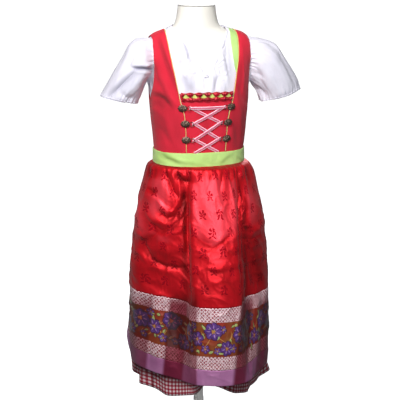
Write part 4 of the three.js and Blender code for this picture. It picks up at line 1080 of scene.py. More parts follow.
def add_blouse():
    edges = {
        "front": (BLOUSE_FRONT_EDGE, FRONT, 100, 60),
        "back": (BLOUSE_BACK_EDGE, BACK, 90, 54),
    }
    for part, (inner, side, rows, cols) in edges.items():
        outer = side_and_armhole(BLOUSE_SIDE, side, 0, 0, BLOUSE["lift"])
        for name, sign in SIDES:
            points = panel_points(edge_through(inner), outer, BLOUSE["lift"], sign, rows, cols)
            px, py, _ = in_view(points)
            # gathers fan out from the drawstring; under the bodice the cloth lies flat
            u = np.linspace(0, 1, points.shape[1])[None]
            u = u if sign > 0 else 1 - u
            v = np.linspace(0, 1, points.shape[0])[:, None]
            reach = np.abs(points[..., 0])
            bare = 1 - ramp(reach, 50, 66) * (1 - ramp(points[..., 2], WAIST_Z + 300, WAIST_Z + 312))
            bare = bare * ramp(points[..., 2], RUCHE_HIGH_Z - 6, RUCHE_HIGH_Z + 12)
            fan = np.sin(2 * math.pi * (13 * v + 2.2 * noise(9 * v, 4 * u, 12 + sign)) + 3 * u)
            fan = fan * bell(u, 0.42) * ramp(v, 0.3, 0.45)
            lumps = 1.0 * fan + 1.0 * noise(points[..., 0] / 9, points[..., 2] / 26, 21 + side)
            if part == "front":
                lumps = lumps + along_paths(px, py, BLOUSE_CREASES)
            points = outwards(points, (2.2 + np.maximum(lumps, -3.0)) * bare)
            # painted shade in the blouse's folds
            add_cloth(f"blouse_{part}_{name}_cloth", points, BLOUSE["thick"], white_cotton,
                      [f"blouse_{part}_{name}"],
                      painted_light=painted_fold_shade(points, BLOUSE_SHADE, hidden=1))
    add_drawstring()
    add_placket()
    for name, sign in SIDES:
        add_sleeve(name, sign)


# The rolls of the neck edge: the edge, where on it the roll starts, its points and its unevenness
NECK_ROLLS = {"front": (BLOUSE_FRONT_EDGE, 0.375, 120, 0.25), "back": (BLOUSE_BACK_EDGE, 0.585, 100, 0)}
KNOT_SIZE = 1.5


def add_drawstring():
    """A rolled neck edge with the drawstring in it, tied in a small knot"""
    for name, sign in SIDES:
        for part, (edge, start, count, rough) in NECK_ROLLS.items():
            t = np.linspace(start, 1, fine(count))
            wave = 0.35 * np.sin(t * 150) + rough * noise(t * 60, 0 * t, 6)
            line = on_form(edge_through(edge)(t) * [sign, 1, 1], BLOUSE["lift"] + 1.2 + wave)
            add_cord(f"neck_roll_{part}_{name}", line, 1.3, white_cord)
    knot_z = WAIST_Z + 207
    turns = np.linspace(0, 2 * math.pi, 60)
    trefoil = np.stack([np.sin(turns) + 2 * np.sin(2 * turns), -np.sin(3 * turns) * 0.8,
                        np.cos(turns) - 2 * np.cos(2 * turns)], -1)
    centre = on_form(np.array([0.0, -84, knot_z]), BLOUSE["lift"] + 3.4)
    knot = centre + trefoil[:-1] * KNOT_SIZE
    add_cord("drawstring_knot", knot, 1.15, white_cord, closed=True)
    ends = [
        ("left", [(3, 0), (9, -9), (11, -19), (8, -27)]),
        ("right", [(-3, 0), (-10, -6), (-13, -15), (-11, -23)]),
    ]
    for name, places in ends:
        flat = path_through(places)(np.linspace(0, 1, 40))
        line = np.stack([flat[:, 0], np.full(40, -86.0), knot_z + flat[:, 1]], -1)
        line = on_form(line, BLOUSE["lift"] + 2.6)
        add_cord(f"drawstring_end_{name}", line, 1.0, white_cord)


def add_placket():
    """A narrow band down the centre with tiny tucks across it"""
    u, v = grid(fine(110), fine(16))
    z = mix(RUCHE_HIGH_Z - 4, WAIST_Z + 202, v)
    tuck = 0.45 * np.abs(np.sin(math.pi * (z - RUCHE_HIGH_Z) / 5.2)) + 0.2 * noise(u * 3, z / 6, 31)
    guide = np.stack([mix(-12.5, 12.5, u), np.full_like(z, -90.0), z], -1)
    points = on_form(guide, BLOUSE["lift"] + 1.6 + tuck)
    add_cloth("placket", points[::-1], 0.8, white_cord, [])


SLEEVES = {
    "right": [
        (124, 289, 124, 196, 40, 44),
        (151, 294, 131, 187, 55, 56),
        (176, 278, 137, 176, 60, 62),
        (193, 248, 142, 166, 60, 62),
        (215, 214, 147, 156, 57, 58),
        (235, 181, 152, 145, 52, 52),
        (250, 154, 157, 134, 46, 46),
    ],
    "left": [
        (124, 289, 124, 196, 40, 44),
        (158, 288, 131, 186, 55, 56),
        (195, 274, 138, 176, 60, 62),
        (216, 247, 144, 166, 60, 62),
        (239, 213, 150, 155, 57, 58),
        (256, 183, 156, 143, 52, 52),
        (266, 158, 162, 128, 46, 46),
    ],
}
SLEEVE_CREASES = [
    sharp(1.7, -9, (132, 68), (142, 68.4), (153, 68.6)),
    soft(3.4, 4, (132, 65), (142, 65.4), (153, 65.6)),
    soft(3, 3, (134, 71.5), (144, 72), (153, 73)),
    sharp(3, -8, (136, 71), (127, 79), (117, 89), (107, 98)),
    soft(5, 4, (131, 69), (121, 79), (110, 90)),
    soft(6, 3, (143, 74), (134, 84), (124, 96)),
    soft(4, -5, (152, 74), (148, 84), (144, 98)),
    soft(4, -3, (120, 92), (126, 97), (136, 99)),
    soft(4, 3, (256, 42), (266, 47), (276, 56), (286, 72), (292, 86)),
    soft(6, -3, (254, 48), (264, 56), (274, 70), (280, 86)),
    soft(5, -4, (254, 64), (260, 78), (266, 94)),
    soft(4, -4, (252, 86), (259, 90), (267, 98)),
    soft(6, 2, (268, 60), (280, 74), (286, 86)),
]
CUFF_GATHERS = 30
# How much darker each whole sleeve is painted, as painted shade
SLEEVE_PAINTED_SHADE = {"left": 0.95, "right": 0.9}


def sleeve_points(name, sign, u, v):
    section = path_through(SLEEVES[name])
    angle = 2 * math.pi * u
    top_x, top, under_x, under, front, back = np.moveaxis(section(v), -1, 0)
    swell = 1 + ramp(v, 0.9, 1) * 0.5 * np.cos(CUFF_GATHERS * angle + 2 * noise(u * 30, 0 * u, 8)) / 50
    share = 0.5 + 0.5 * np.cos(angle) * swell
    depth = np.where(np.sin(angle) < 0, front, back) * np.sin(angle) * swell
    puffed = np.stack([mix(under_x, top_x, share), depth, WAIST_Z + mix(under, top, share)], -1)
    drawn_out = np.stack([ARMHOLE["sleeve"] + 26 * v, 0 * v, 0 * v], -1)
    seam = armhole_point(angle, 0, BLOUSE["lift"]) + drawn_out
    held = ramp(v, 0, 0.2)[..., None]
    return mix(seam, puffed, held) * [sign, 1, 1]


def add_sleeve(name, sign):
    u, v = grid(fine(74), fine(150), ring=True)
    points = sleeve_points(name, sign, u, v)
    px, py, front = in_view(points)
    facing = ramp(front - np.median(front, axis=1, keepdims=True), -8, 12)
    seen = along_paths(px, py, SLEEVE_CREASES) * facing
    around = np.stack([np.cos(2 * math.pi * u), np.sin(2 * math.pi * u)], -1)
    lumps = 2.4 * noise(3 * around[..., 0] + 4, 3 * around[..., 1] + 3 * v, 50 + sign) * ramp(v, 0.08, 0.35)
    lumps += 1.0 * noise(8 * around[..., 0] + 9, 8 * around[..., 1] + 5 * v, 60 + sign)
    head = 1.6 * np.cos(2 * math.pi * (26 * u + 0.4 * noise(u * 20, 0 * u, 3))) * bell(v - 0.06, 0.08)
    pleats = CUFF_GATHERS * u + 0.8 * noise(u * 18, 3 * v, 2)
    cuff = 0.7 * np.cos(2 * math.pi * pleats) * ramp(v, 0.75, 0.97)
    hold = ramp(v, 0.0, 0.05)
    push = (seen * ramp(v, 0.05, 0.2) + lumps + head + cuff) * hold
    normal = normals_of(points, ring=True)
    middle = points.mean(1, keepdims=True)
    facing_out = np.sign((normal * (points - middle)).sum(-1, keepdims=True))
    points = points + normal * facing_out * push[..., None]
    # painted shade in the folds on the side that shows, and the whole sleeve painted a little darker
    painted_light = mix(1, painted_fold_shade(points, SLEEVE_SHADE, hidden=1), facing) * SLEEVE_PAINTED_SHADE[name]
    add_cloth(f"sleeve_{name}_cloth", points, BLOUSE["thick"], white_cotton,
              [f"blouse_sleeve_{name}"], ring=True, painted_light=painted_light)
    # a rolled hem at the cuff
    row = int(points.shape[0] * 0.955)
    add_cord(f"cuff_cord_{name}", points[row], 1.1, white_cord, closed=True)


# Hooks and lacing
HOOKS = (131, 92, 51)
HOOK = {"wide": 22, "high": 17, "ring": 4.9, "clear": 3.0}


def ring_x(z):
    return seam_edge(seam_at_height(z))[..., 0] - HOOK["wide"] / 2 - HOOK["ring"] + 1.5


def hook_frame(above, sign):
    """The hook's place and its directions across, up and outwards"""
    z = WAIST_Z + above
    edge = seam_edge(seam_at_height(z))
    lift = BODICE["lift"] + BODICE["thick"] / 2 + HOOK["clear"]

    def spot(dx, dz):
        return on_form(np.array([sign * (edge[0] + dx), edge[1], z + dz]), lift)

    across = unit(spot(8, 0) - spot(-14, 0))
    rise = unit(spot(0, 6) - spot(0, -6))
    out = unit(np.cross(across, rise) * sign)
    return spot(0, 0), across, np.cross(out, across) * sign, out


def flower_plate(turns, rings):
    """A domed plate with eight petals, as local points across, up and out"""
    angle = np.linspace(0, 2 * math.pi, turns, endpoint=False)[None]
    share = np.linspace(0, 1, rings)[:, None]
    lobe = 1 + 0.13 * np.abs(np.cos(4 * angle)) - 0.06
    x = HOOK["wide"] / 2 * share * lobe * np.cos(angle)
    y = HOOK["high"] / 2 * share * lobe * np.sin(angle)
    dome = 2.2 * (1 - share**2)
    petal = 1.3 * np.abs(np.cos(4 * angle)) * np.sin(math.pi * np.clip(share * 1.15 - 0.1, 0, 1)) * share
    ridge = 0.9 * bell(share - 0.42, 0.07) * (0.6 + 0.4 * np.cos(16 * angle))
    ridge = ridge + 0.7 * bell(share - 0.72, 0.06) * np.cos(24 * angle)
    heart = 1.8 * bell(share, 0.2)
    return np.stack([x, y, dome + petal + ridge + heart + 0 * x], -1)


def add_hooks():
    for name, sign in SIDES:
        for i, above in enumerate(HOOKS):
            centre, across, rise, out = hook_frame(above, sign)
            turns, rings = fine(96), fine(26)
            local = flower_plate(turns, rings)
            base = local[-1] * [1, 1, 0] + [0, 0, -1.2]
            under = local[-1] * [0.1, 0.1, 0] + [0, 0, -1.4]
            shape = np.concatenate([local, base[None], under[None]])
            world = centre + shape[..., :1] * across + shape[..., 1:2] * rise + shape[..., 2:] * out
            faces = ring_faces(len(world), turns, ("last",))
            plate = mesh_object(f"hook_plate_{name}_{i + 1}", world.reshape(-1, 3), faces)
            dressed(plate, antique_brass, [f"hook_{name}_{i + 1}"])
            turn = np.linspace(0, 2 * math.pi, fine(48), endpoint=False)
            radius = HOOK["ring"] + 0.2
            middle = centre - across * (HOOK["wide"] / 2 + HOOK["ring"] - 0.6)
            loop = middle + radius * (np.cos(turn)[:, None] * across + np.sin(turn)[:, None] * rise)
            add_cord(f"hook_ring_{name}_{i + 1}", loop + out * 0.4, 0.75, antique_brass,
                     closed=True)


def ribbon_lift(layer):
    return BODICE["lift"] + BODICE["thick"] / 2 + 0.85 + 1.35 * layer


def add_lacing():
    def ring(side, i):
        z = WAIST_Z + HOOKS[i]
        return np.array([side * (float(ring_x(z)) - 4.2), z])

    def foot(side):
        return np.array([side * 22.0, BAND_HIGH_Z + 4.5])

    runs = [
        ("lace_across", ring(-1, 0), ring(1, 0), 2),
        ("lace_right_1", ring(-1, 0), ring(1, 1), 0),
        ("lace_left_1", ring(1, 0), ring(-1, 1), 1),
        ("lace_right_2", ring(-1, 1), ring(1, 2), 0),
        ("lace_left_2", ring(1, 1), ring(-1, 2), 1),
        ("lace_right_3", ring(-1, 2), foot(1), 0),
        ("lace_left_3", ring(1, 2), foot(-1), 1),
    ]
    for name, start, end, layer in runs:
        way = unit(end - start)
        # the ribbon reaches through its rings, where it is drawn narrow
        first = start - way * 6.5
        last = end + way * (6.5 if "_3" not in name else 10)
        u, v = grid(fine(8), fine(60))
        near_ring = bell(u, 0.07) + (bell(1 - u, 0.07) if "_3" not in name else 0)
        wide = RIBBON_WIDE * (1 - 0.45 * np.clip(near_ring, 0, 1))
        side = wide * (v - 0.5)
        x = mix(first[0], last[0], u) - way[1] * side
        z = mix(first[1], last[1], u) + way[0] * side
        edge = seam_edge(seam_at_height(z))
        crown = 0.5 * np.sin(math.pi * v) + 0.8 * np.clip(near_ring, 0, 1)
        points = on_form(np.stack([x, edge[..., 1] - 12, z], -1), ribbon_lift(layer) + crown)
        add_cloth(f"ribbon_{name}", points, 0.5, lace_ribbon, [name])


# Skirt and apron: the cloth's lines from the right side over the front to the left, as seen in the photo.
# Columns: angle at the waist, place at the hip, the knee and the hem, the apron hem's rise, and how far
# inside it the skirt's hem lies.
APRON_LINES = [
    (158, (-138, 58), (-166, 54), (-203, 46), 62, 32),
    (173, (-157, 20), (-176, 8), (-183, 10), 25, 8),
    (185, (-160, -16), (-177, -36), (-174, -34), 18, 22),
    (199, (-149, -58), (-158, -82), (-157, -76), 16, 6),
    (213, (-124, -90), (-118, -104), (-126, -104), 12, 24),
    (225, (-94, -110), (-86, -114), (-88, -130), 9, 8),
    (237, (-64, -121), (-58, -123), (-56, -148), 5, 8),
    (248, (-41, -124), (-32, -134), (-30, -162), 2, 11),
    (256, (-26, -120), (-21, -152), (-13, -171), 0, 18),
    (263, (-11, -131), (-4, -172), (0, -177), 0, 42),
    (273, (20, -139), (28, -180), (31, -182), 0, 94),
    (285, (49, -141), (60, -179), (63, -182), 0, 98),
    (297, (75, -136), (88, -171), (86, -178), 0, 84),
    (308, (93, -127), (108, -156), (104, -171), 1, 34),
    (317, (104, -116), (118, -134), (122, -161), 3, 24),
    (324, (110, -108), (122, -106), (136, -146), 5, 16),
    (331, (121, -102), (136, -92), (143, -126), 8, 18),
    (338, (134, -90), (154, -84), (154, -104), 10, 24),
    (347, (149, -66), (172, -66), (170, -76), 13, 24),
    (357, (164, -25), (181, -28), (181, -34), 16, 22),
    (370, (160, 22), (176, 24), (181, 22), 20, -8),
    (386, (138, 60), (160, 64), (168, 66), 28, 6),
    (401, (112, 92), (132, 104), (141, 112), 36, 6),
]
BACK_LINES = [
    (411, 10), (421, -14), (431, 9), (441, -15), (451, 11),
    (461, -12), (471, 8), (482, -14), (492, 9), (501, -6),
]
BACK_OVAL = {"hip": (158, 134), "knee": (176, 158), "hem": (182, 168)}
HIP_Z = WAIST_Z - 155
KNEE_Z = WAIST_Z - 350
APRON_HEM_Z = HEM_Z + 35
SKIRT_TOP_LIFT = 4.4
SKIRT_CLEARANCE = 6.5
RIGHT_SEAM = 2.4
LEFT_SEAM = 20.2
HEM_BAND = 42
BORDER = 162
FLARE = ((8, 0.27), (44, 0.52))
LINE_ZS = np.arange(140, 780, 1.0)


def towards_axis(p, by):
    p = np.asarray(p, float)
    return p * (1 - by / np.linalg.norm(p))


def waist_point(degrees, z, lift):
    angle = math.radians(degrees)
    x, y = turned([math.cos(angle), math.sin(angle)])
    return on_form(np.array([100 * x, 85 * y, z]), lift)[:2]


def line_table(levels):
    """A cloth line's places at every height of LINE_ZS"""
    levels = sorted(levels, key=lambda level: level[0])
    knots = [z for z, _ in levels]
    return np.stack([curve_through(knots, [at[k] for _, at in levels])(LINE_ZS) for k in (0, 1)], -1)


def flare(waist, hip):
    return [(BAND_LOW_Z - below, mix(waist, hip, share)) for below, share in FLARE]


def apron_line(row):
    waist_degrees, hip, knee, hem, *_ = row
    waist = waist_point(waist_degrees, BAND_LOW_Z, BAND["lift"] + 0.2)
    hip = turned(hip)
    levels = [(BAND_LOW_Z, waist), *flare(waist, hip), (HIP_Z, hip), (KNEE_Z, turned(knee)),
              (APRON_HEM_Z, turned(hem))]
    return line_table(levels)


def skirt_line(waist_degrees, hip, knee, hem, tuck=None):
    hip, knee, hem = turned(hip), turned(knee), turned(hem)
    waist = waist_point(waist_degrees, BAND_LOW_Z, SKIRT_TOP_LIFT)
    levels = [(WAIST_Z, waist_point(waist_degrees, WAIST_Z, SKIRT_TOP_LIFT)), (BAND_LOW_Z, waist),
              *flare(waist, hip), (HIP_Z, hip), (KNEE_Z, knee), (HEM_Z, hem)]
    if tuck is not None:
        levels.append((APRON_HEM_Z + 18, turned(tuck)))
    return line_table(levels)


def oval_point(name, degrees, out):
    angle = math.radians(degrees)
    wide, deep = BACK_OVAL[name]
    return towards_axis((wide * math.cos(angle), deep * math.sin(angle)), -out)


def front_skirt_line(row):
    waist, hip, knee, hem, _, inset = row
    return skirt_line(waist, towards_axis(hip, SKIRT_CLEARANCE),
                      towards_axis(knee, SKIRT_CLEARANCE + 0.25 * inset), towards_axis(hem, inset),
                      towards_axis(hem, max(SKIRT_CLEARANCE, 0.8 * inset)))


def back_skirt_line(row):
    angle, out = row
    return skirt_line(angle, oval_point("hip", angle, 0.25 * out), oval_point("knee", angle, 0.7 * out),
                      oval_point("hem", angle, out))


APRON_TABLE = np.stack([apron_line(row) for row in APRON_LINES])
SKIRT_TABLE = np.stack([*map(front_skirt_line, APRON_LINES), *map(back_skirt_line, BACK_LINES)])


def across_lines(table, place, z, closed):
    """A smooth curve across the lines at heights. place counts lines."""
    count = len(table)
    i = np.floor(place).astype(int)
    if not closed:
        i = np.clip(i, 0, count - 2)
    f = (place - i)[..., None]
    row = np.clip((z - LINE_ZS[0]), 0, len(LINE_ZS) - 1.001)
    low = row.astype(int)
    part = (row - low)[..., None]

    def pick(n):
        n = n % count if closed else np.clip(n, 0, count - 1)
        return mix(table[n, low], table[n, low + 1], part)

    before, a, b, after = pick(i - 1), pick(i), pick(i + 1), pick(i + 2)
    bend = (b - before) * f + (2 * before - 5 * a + 4 * b - after) * f**2
    flat = 0.5 * (2 * a + bend + (3 * a - before - 3 * b + after) * f**3)
    return np.concatenate([flat, z[..., None]], -1)


GATHER_REACHES = [28, 45, 70, 105, 150]


def gathers(place, below, count, span, seed, tall):
    """Uneven gathers under a band: ridges of different lengths and heights with sharp valleys"""
    rng = np.random.default_rng(seed)
    total = np.zeros_like(place)
    pitch = span / count
    for i in range(count + 1):
        middle = (i + rng.uniform(-0.3, 0.3)) * pitch
        wide = pitch * rng.uniform(0.36, 0.6)
        reach = rng.choice(GATHER_REACHES) * rng.uniform(0.8, 1.2)
        lean = rng.uniform(-0.25, 0.25) * pitch
        high = tall * rng.uniform(0.55, 1.15)
        grown = 1 - np.exp(-np.maximum(below, 0) / 7)
        spread = wide * (1 + below / reach)
        ridge = np.exp(-np.abs((place - middle - lean * below / 50) / spread) ** 1.7)
        total += high * ridge * grown * bell(np.maximum(below, 0), reach)
    return total


# Main creases of the apron, placed along paths in the photo
APRON_CREASES = [
    # the right edge of the centre fold, and its crest
    sharp(3.4, -9, (236, 168), (238, 182), (239.5, 196), (240.5, 240), (242, 270), (245, 303),
          (247, 340), (250, 374)),
    soft(6, 4, (234, 196), (236, 230), (237, 270), (240, 303), (241, 340)),
    # the valley on its left side, and the crest beside it
    sharp(3.6, -9, (186, 184), (187, 200), (187.5, 220), (187.5, 250), (188, 280), (190, 303)),
    soft(5, 4, (193, 186), (192.5, 210), (192.5, 240), (193, 270), (195, 300)),
    # folds that start in the gathers
    sharp(3, -5, (150, 164), (149, 178)),
    sharp(3, -4, (145, 164), (141, 182)),
    sharp(3, -3, (157, 166), (156, 176)),
    sharp(3.4, -6, (166, 167), (168, 178), (173, 190), (178, 198)),
    soft(3, 4, (171, 168), (174, 180)),
    sharp(3.4, -8, (176, 168), (178, 176), (183, 181), (190, 182)),
    soft(3.4, 5, (181, 168), (184, 175), (190, 177)),
    sharp(3, -6, (189, 168), (190, 180)),
    soft(3, 3, (197, 169), (197, 182)),
    sharp(3, -3, (203, 170), (202, 178)),
    sharp(3, -2.5, (212, 170), (210, 184), (207, 194)),
    sharp(3, -3, (222, 170), (222, 180), (220, 192)),
    sharp(3, -4, (229, 169), (231, 182)),
    soft(3, 5, (241, 167), (241, 178)),
    sharp(3, -4, (245, 166), (249, 182)),
    soft(3, 3, (250, 166), (255, 180)),
    # the left side: notches, the pouch and the troughs below it
    sharp(3, -6, (149, 189), (153, 192), (156, 190)),
    soft(6, 3, (146, 194), (150, 200), (156, 200)),
    soft(8, 3, (157, 176), (164, 190), (174, 200)),
    soft(4, 5, (158, 200), (162, 208), (168, 213), (174, 210), (177, 203)),
    soft(5, -8, (160, 213), (167, 219), (175, 216), (181, 206), (186, 196)),
    sharp(4, -5, (152, 222), (162, 231), (170, 228), (178, 222), (187, 214)),
    soft(5, 4, (150, 216), (158, 222), (166, 224)),
    soft(7, 3, (138, 210), (141, 224), (148, 232)),
    soft(4, 5, (136, 232), (143, 236), (150, 232), (152, 224)),
    sharp(4, -5, (135, 240), (144, 241), (154, 236), (160, 230)),
    soft(5, 3, (160, 238), (172, 234), (183, 224)),
    sharp(4, -7, (144, 244), (148, 252), (152, 258)),
    soft(3.4, 4, (136, 250), (141, 254), (147, 262)),
    sharp(3.2, -6, (152, 259), (162, 265), (176, 268), (187, 267)),
    soft(5, 3.5, (150, 264), (162, 270), (176, 273)),
    soft(7, 3, (156, 248), (168, 252), (180, 248), (187, 240)),
    soft(6, -2.5, (148, 284), (160, 288), (172, 296)),
    soft(6, 3, (133, 262), (140, 280), (148, 292)),
    # the centre fold: shallow crumples in its lower half
    sharp(3.2, -3.5, (194, 236), (203, 244), (213, 249), (222, 243), (229, 236)),
    soft(5, 3, (198, 230), (208, 238), (218, 241), (226, 234)),
    sharp(3, -3.5, (224, 240), (226, 250), (233, 256), (240, 252)),
    soft(4, 2.5, (196, 254), (206, 258), (214, 256)),
    sharp(3, 3.4, (205, 266), (214, 270), (226, 266), (238, 262)),
    sharp(3.4, -3.4, (206, 270), (216, 274), (228, 271), (240, 268)),
    sharp(4, -2.4, (196, 276), (204, 284), (210, 296)),
    soft(5, 2.4, (214, 280), (224, 290), (234, 296)),
    sharp(3, -2.4, (218, 276), (228, 284), (238, 286)),
    # the right side
    soft(5, -5, (240, 206), (245, 212), (248, 222)),
    sharp(4, -6, (242, 222), (248, 229), (255, 228)),
    soft(5, 5.5, (243, 232), (252, 233), (260, 226), (263, 218)),
    soft(7, 3, (252, 196), (257, 208), (260, 220)),
    soft(5, 3.5, (245, 242), (252, 246), (260, 240)),
    sharp(3.4, -6, (243, 239), (252, 240), (262, 234)),
    soft(6, -5, (244, 254), (250, 262), (254, 276), (262, 288)),
    soft(4, 3, (246, 272), (249, 284), (252, 294)),
    # the border and the hem: flat facets that turn to and from the light
    soft(7, -5, (142, 296), (142, 330), (141, 360)),
    soft(8, 5, (158, 292), (158, 330), (158, 370)),
    sharp(3, -3, (150, 296), (150, 330), (149, 366)),
    soft(9, -8, (177, 298), (177, 335), (179, 378)),
    sharp(3, 2.5, (167, 298), (167, 335), (167, 374)),
    soft(4, 3, (191, 304), (191.5, 340), (193, 380)),
    sharp(3, -4, (197, 304), (197, 345), (197.5, 385)),
    soft(14, 4, (217, 304), (217, 345), (218, 386)),
    soft(5, 5, (254, 290), (254, 330), (254, 370)),
    soft(4, -5, (263, 288), (263, 320), (262, 360)),
]


def apron_rise(u):
    return path_through([[row[4]] for row in APRON_LINES])(u)[..., 0]


def apron_points(u, z):
    place = u * (len(APRON_LINES) - 1)
    points = across_lines(APRON_TABLE, place, z, False)
    below = BAND_LOW_Z - z
    px, py, front = in_view(points)
    push = gathers(place, below, 52, len(APRON_LINES) - 1, 11, 2.6)
    shown = ramp(front, -20, 25)
    # the lower part of the centre fold lies calmer
    calm = mix(1, 0.55, ramp(py, 226, 248) * ramp(px, 186, 194) * (1 - ramp(px, 234, 242)))
    push += along_paths(px, py, APRON_CREASES) * shown * ramp(below, 4, 26) * calm
    run = u * 760
    rumple = 1.1 * noise(run / 48, z / 60, 71) + 0.5 * noise(run / 24, z / 30, 72)
    skew = 26 * noise(run / 70, z / 70, 75)
    for scale, high, seed in ((46, 2.2, 76), (27, 1.2, 77), (15, 0.5, 78)):
        crisp = 1 - np.abs(noise((run + skew) / scale, (z - 0.8 * skew) / (0.8 * scale), seed))
        rumple += high * (crisp**4 - 0.25)
    push += rumple * ramp(below, 20, 110) * (1 - 0.4 * ramp(below, 420, 480))
    # at the hidden sides, long soft folds in place of the listed ones
    side_folds = 4.0 * noise(run / 42 + z / 260, z / 150, 74) * ramp(below, 10, 120)
    push += side_folds * (1 - shown)
    # near the band the cloth can't sink far
    push = np.maximum(push, -1.2 - 0.16 * np.maximum(below, 0))
    # the outer edges stay close to the skirt
    margin = np.minimum(u, 1 - u)
    return outwards(points, push * ramp(margin, 0, 0.02))


def apron_grid(rows, cols, top_above_hem, low_above_hem):
    u, v = grid(fine(rows), fine(cols))
    hem = APRON_HEM_Z + apron_rise(u)
    top = BAND_LOW_Z - 0.3 if top_above_hem is None else hem + top_above_hem
    # rows lie closer under the band, where the gathers are
    v = v**1.25 if top_above_hem is None else v
    return apron_points(u, mix(top, hem + low_above_hem, v)), u, v


# An even painted shade, with a little noise, for the sides that the photo doesn't show
def even_painted_shade(points, middle, seed):
    return middle + 0.15 * noise(points[..., 0] / 30, points[..., 2] / 90, seed)


def painted_apron_light(points, hem_part):
    px, py, front = in_view(points)
    even = even_painted_shade(points, 0.85 if hem_part else 0.72, 97)
    painted_light = np.ones_like(px)
    if not hem_part:
        # painted highlights along the satin's crests, and painted shade in its folds
        painted_light = 0.8 + np.clip(along_paths(px, py, APRON_PAINTED_HIGHLIGHTS), 0, 0.24) * ramp(py, 170, 182)
        shade = along_paths(px, py, widened(APRON_SHADE, 1.25, 0.3))
        painted_light = painted_light * (1 - np.clip(shade, 0, 0.92))
    # painted light and shade on the border's and the hem's facets, and on the satin's lower edge
    low = ramp(py, 288, 306)
    painted_light = painted_light * mix(1, painted_facet_light(px, py, APRON_FACET_PAINTED_LIGHT), low)
    if not hem_part:
        # painted shade: darker towards the bottom, and in the lower right of the satin
        painted_light = painted_light * mix(1, 0.9, ramp(py, 232, 266))
        painted_light = painted_light * mix(1, 0.8, ramp(px, 243, 252) * ramp(py, 226, 246))
    return np.clip(mix(even, painted_light, ramp(front, -25, 15)), 0, 1)


def painted_skirt_shade(points):
    px, py, front = in_view(points)
    # painted light and shade on the pleats' facets
    seen = painted_facet_light(px, py, SKIRT_FACET_PAINTED_LIGHT)
    # a painted shadow under the apron's hem, nearly black close to it
    open_by = ramp(APRON_HEM_Z - points[..., 2], -6, 30)
    painted_light = mix(0.1, seen, open_by)
    return np.clip(mix(even_painted_shade(points, 0.85, 98), painted_light, ramp(front, -25, 15)), 0.02, 1)


class Surface:
    """A grid of cloth looked up by millimetres from its left end and its top, for what lies on it"""

    def __init__(self, points, painted_light):
        self.points = points
        # the painted light of the cloth, passed on to what lies on it
        self.painted_light = np.repeat(painted_light[..., None], 3, 2)
        self.normals = normals_of(points)
        away = points * [1, 1, 0]
        self.normals *= np.sign((self.normals * away).sum(-1, keepdims=True))
        self.across, down = lengths_of(points)
        self.down = down

    def at(self, across, down, lift):
        rows, cols = self.points.shape[:2]
        c = np.clip(across / self.across, 0, 1) * (cols - 1)
        r = np.interp(down, self.down, np.arange(rows))
        ci = np.minimum(c.astype(int), cols - 2)
        ri = np.minimum(r.astype(int), rows - 2)
        fc, fr = (c - ci)[..., None], (r - ri)[..., None]
        found = []
        for table in (self.points, self.normals, self.painted_light):
            top = mix(table[ri, ci], table[ri, ci + 1], fc)
            low = mix(table[ri + 1, ci], table[ri + 1, ci + 1], fc)
            found.append(mix(top, low, fr))
        return found[0] + found[1] * np.asarray(lift)[..., None], found[2][..., 0]


class Stitches:
    """Flat shapes gathered into one mesh that lies on a surface of cloth"""

    def __init__(self, surface):
        self.surface = surface
        self.points = []
        self.painted_lights = []
        self.faces = []
        self.uvs = []

    def strip(self, rows):
        """Faces between rows of places: across, down and above the cloth"""
        first, count = len(self.points), len(rows[0][0])
        for row in rows:
            points, painted_lights = self.surface.at(*row)
            self.points.extend(points)
            self.painted_lights.extend(painted_lights)
        for r in range(len(rows) - 1):
            for i in range(count - 1):
                corners = [(r, i), (r, i + 1), (r + 1, i + 1), (r + 1, i)]
                self.faces.append([first + row * count + col for row, col in corners])
                self.uvs += [(rows[row][0][col] * MM, -rows[row][1][col] * MM) for row, col in corners]

    def leaf(self, x, y, turn, long, wide, lift=0.75, bulge=0.35, blunt=False):
        """A leaf or a blunt petal from (x, y), in the direction turn, in millimetres of cloth"""
        steps = 6
        t = np.linspace(0, 1, steps + 1)
        half = wide / 2 * (np.sin(math.pi * t**1.5) ** 0.6 if blunt else np.sin(math.pi * t**0.8) ** 0.8)
        rows = []
        for side, raise_by in ((-1, 0), (0, bulge), (1, 0)):
            along, off = t * long, side * half
            px = x + along * math.cos(turn) - off * math.sin(turn)
            py = y + along * math.sin(turn) + off * math.cos(turn)
            rows.append((px, py, np.full_like(t, lift + raise_by)))
        self.strip(rows)

    def stem(self, places, wide, lift=0.7):
        count = 10
        line = path_through(places)(np.linspace(0, 1, count))
        way = unit(np.gradient(line, axis=0))
        side = np.stack([-way[:, 1], way[:, 0]], -1) * wide / 2
        taper = np.linspace(1, 0.5, count)[:, None]
        edges = line - side * taper, line + side * taper
        self.strip([(edge[:, 0], edge[:, 1], np.full(count, lift)) for edge in edges])

    def finish(self, name, material, slot):
        if self.faces:
            obj = mesh_object(name, np.array(self.points), self.faces, self.uvs)
            # the painted light of the cloth under the shapes
            set_painted_light(obj, self.painted_lights)
            dressed(obj, material)


# A rose's rings of petals: how many, and how far out, how long and how wide they are for a size of 1
ROSE_RINGS = ((3, 0.09, 0.2, 0.15), (4, 0.22, 0.34, 0.2), (5, 0.38, 0.42, 0.2))


def rose(stitches, x, y, size, turn):
    """A woven rose of curved petals round a heart, with leaves at its foot"""
    for ring, (count, reach, long, wide) in enumerate(ROSE_RINGS):
        for k in range(count):
            angle = turn + 2 * math.pi * (k + 0.4 * ring) / count
            px, py = x + size * reach * math.cos(angle), y + size * reach * math.sin(angle)
            stitches.leaf(px, py, angle + 1.75, size * long, size * wide, lift=0.66, bulge=0.1)
    for k in (-1, 1):
        stitches.leaf(x + 0.1 * size * k, y + 0.46 * size, math.pi / 2 - 1.1 * k, size * 0.44,
                      size * 0.2, lift=0.66, bulge=0.1)


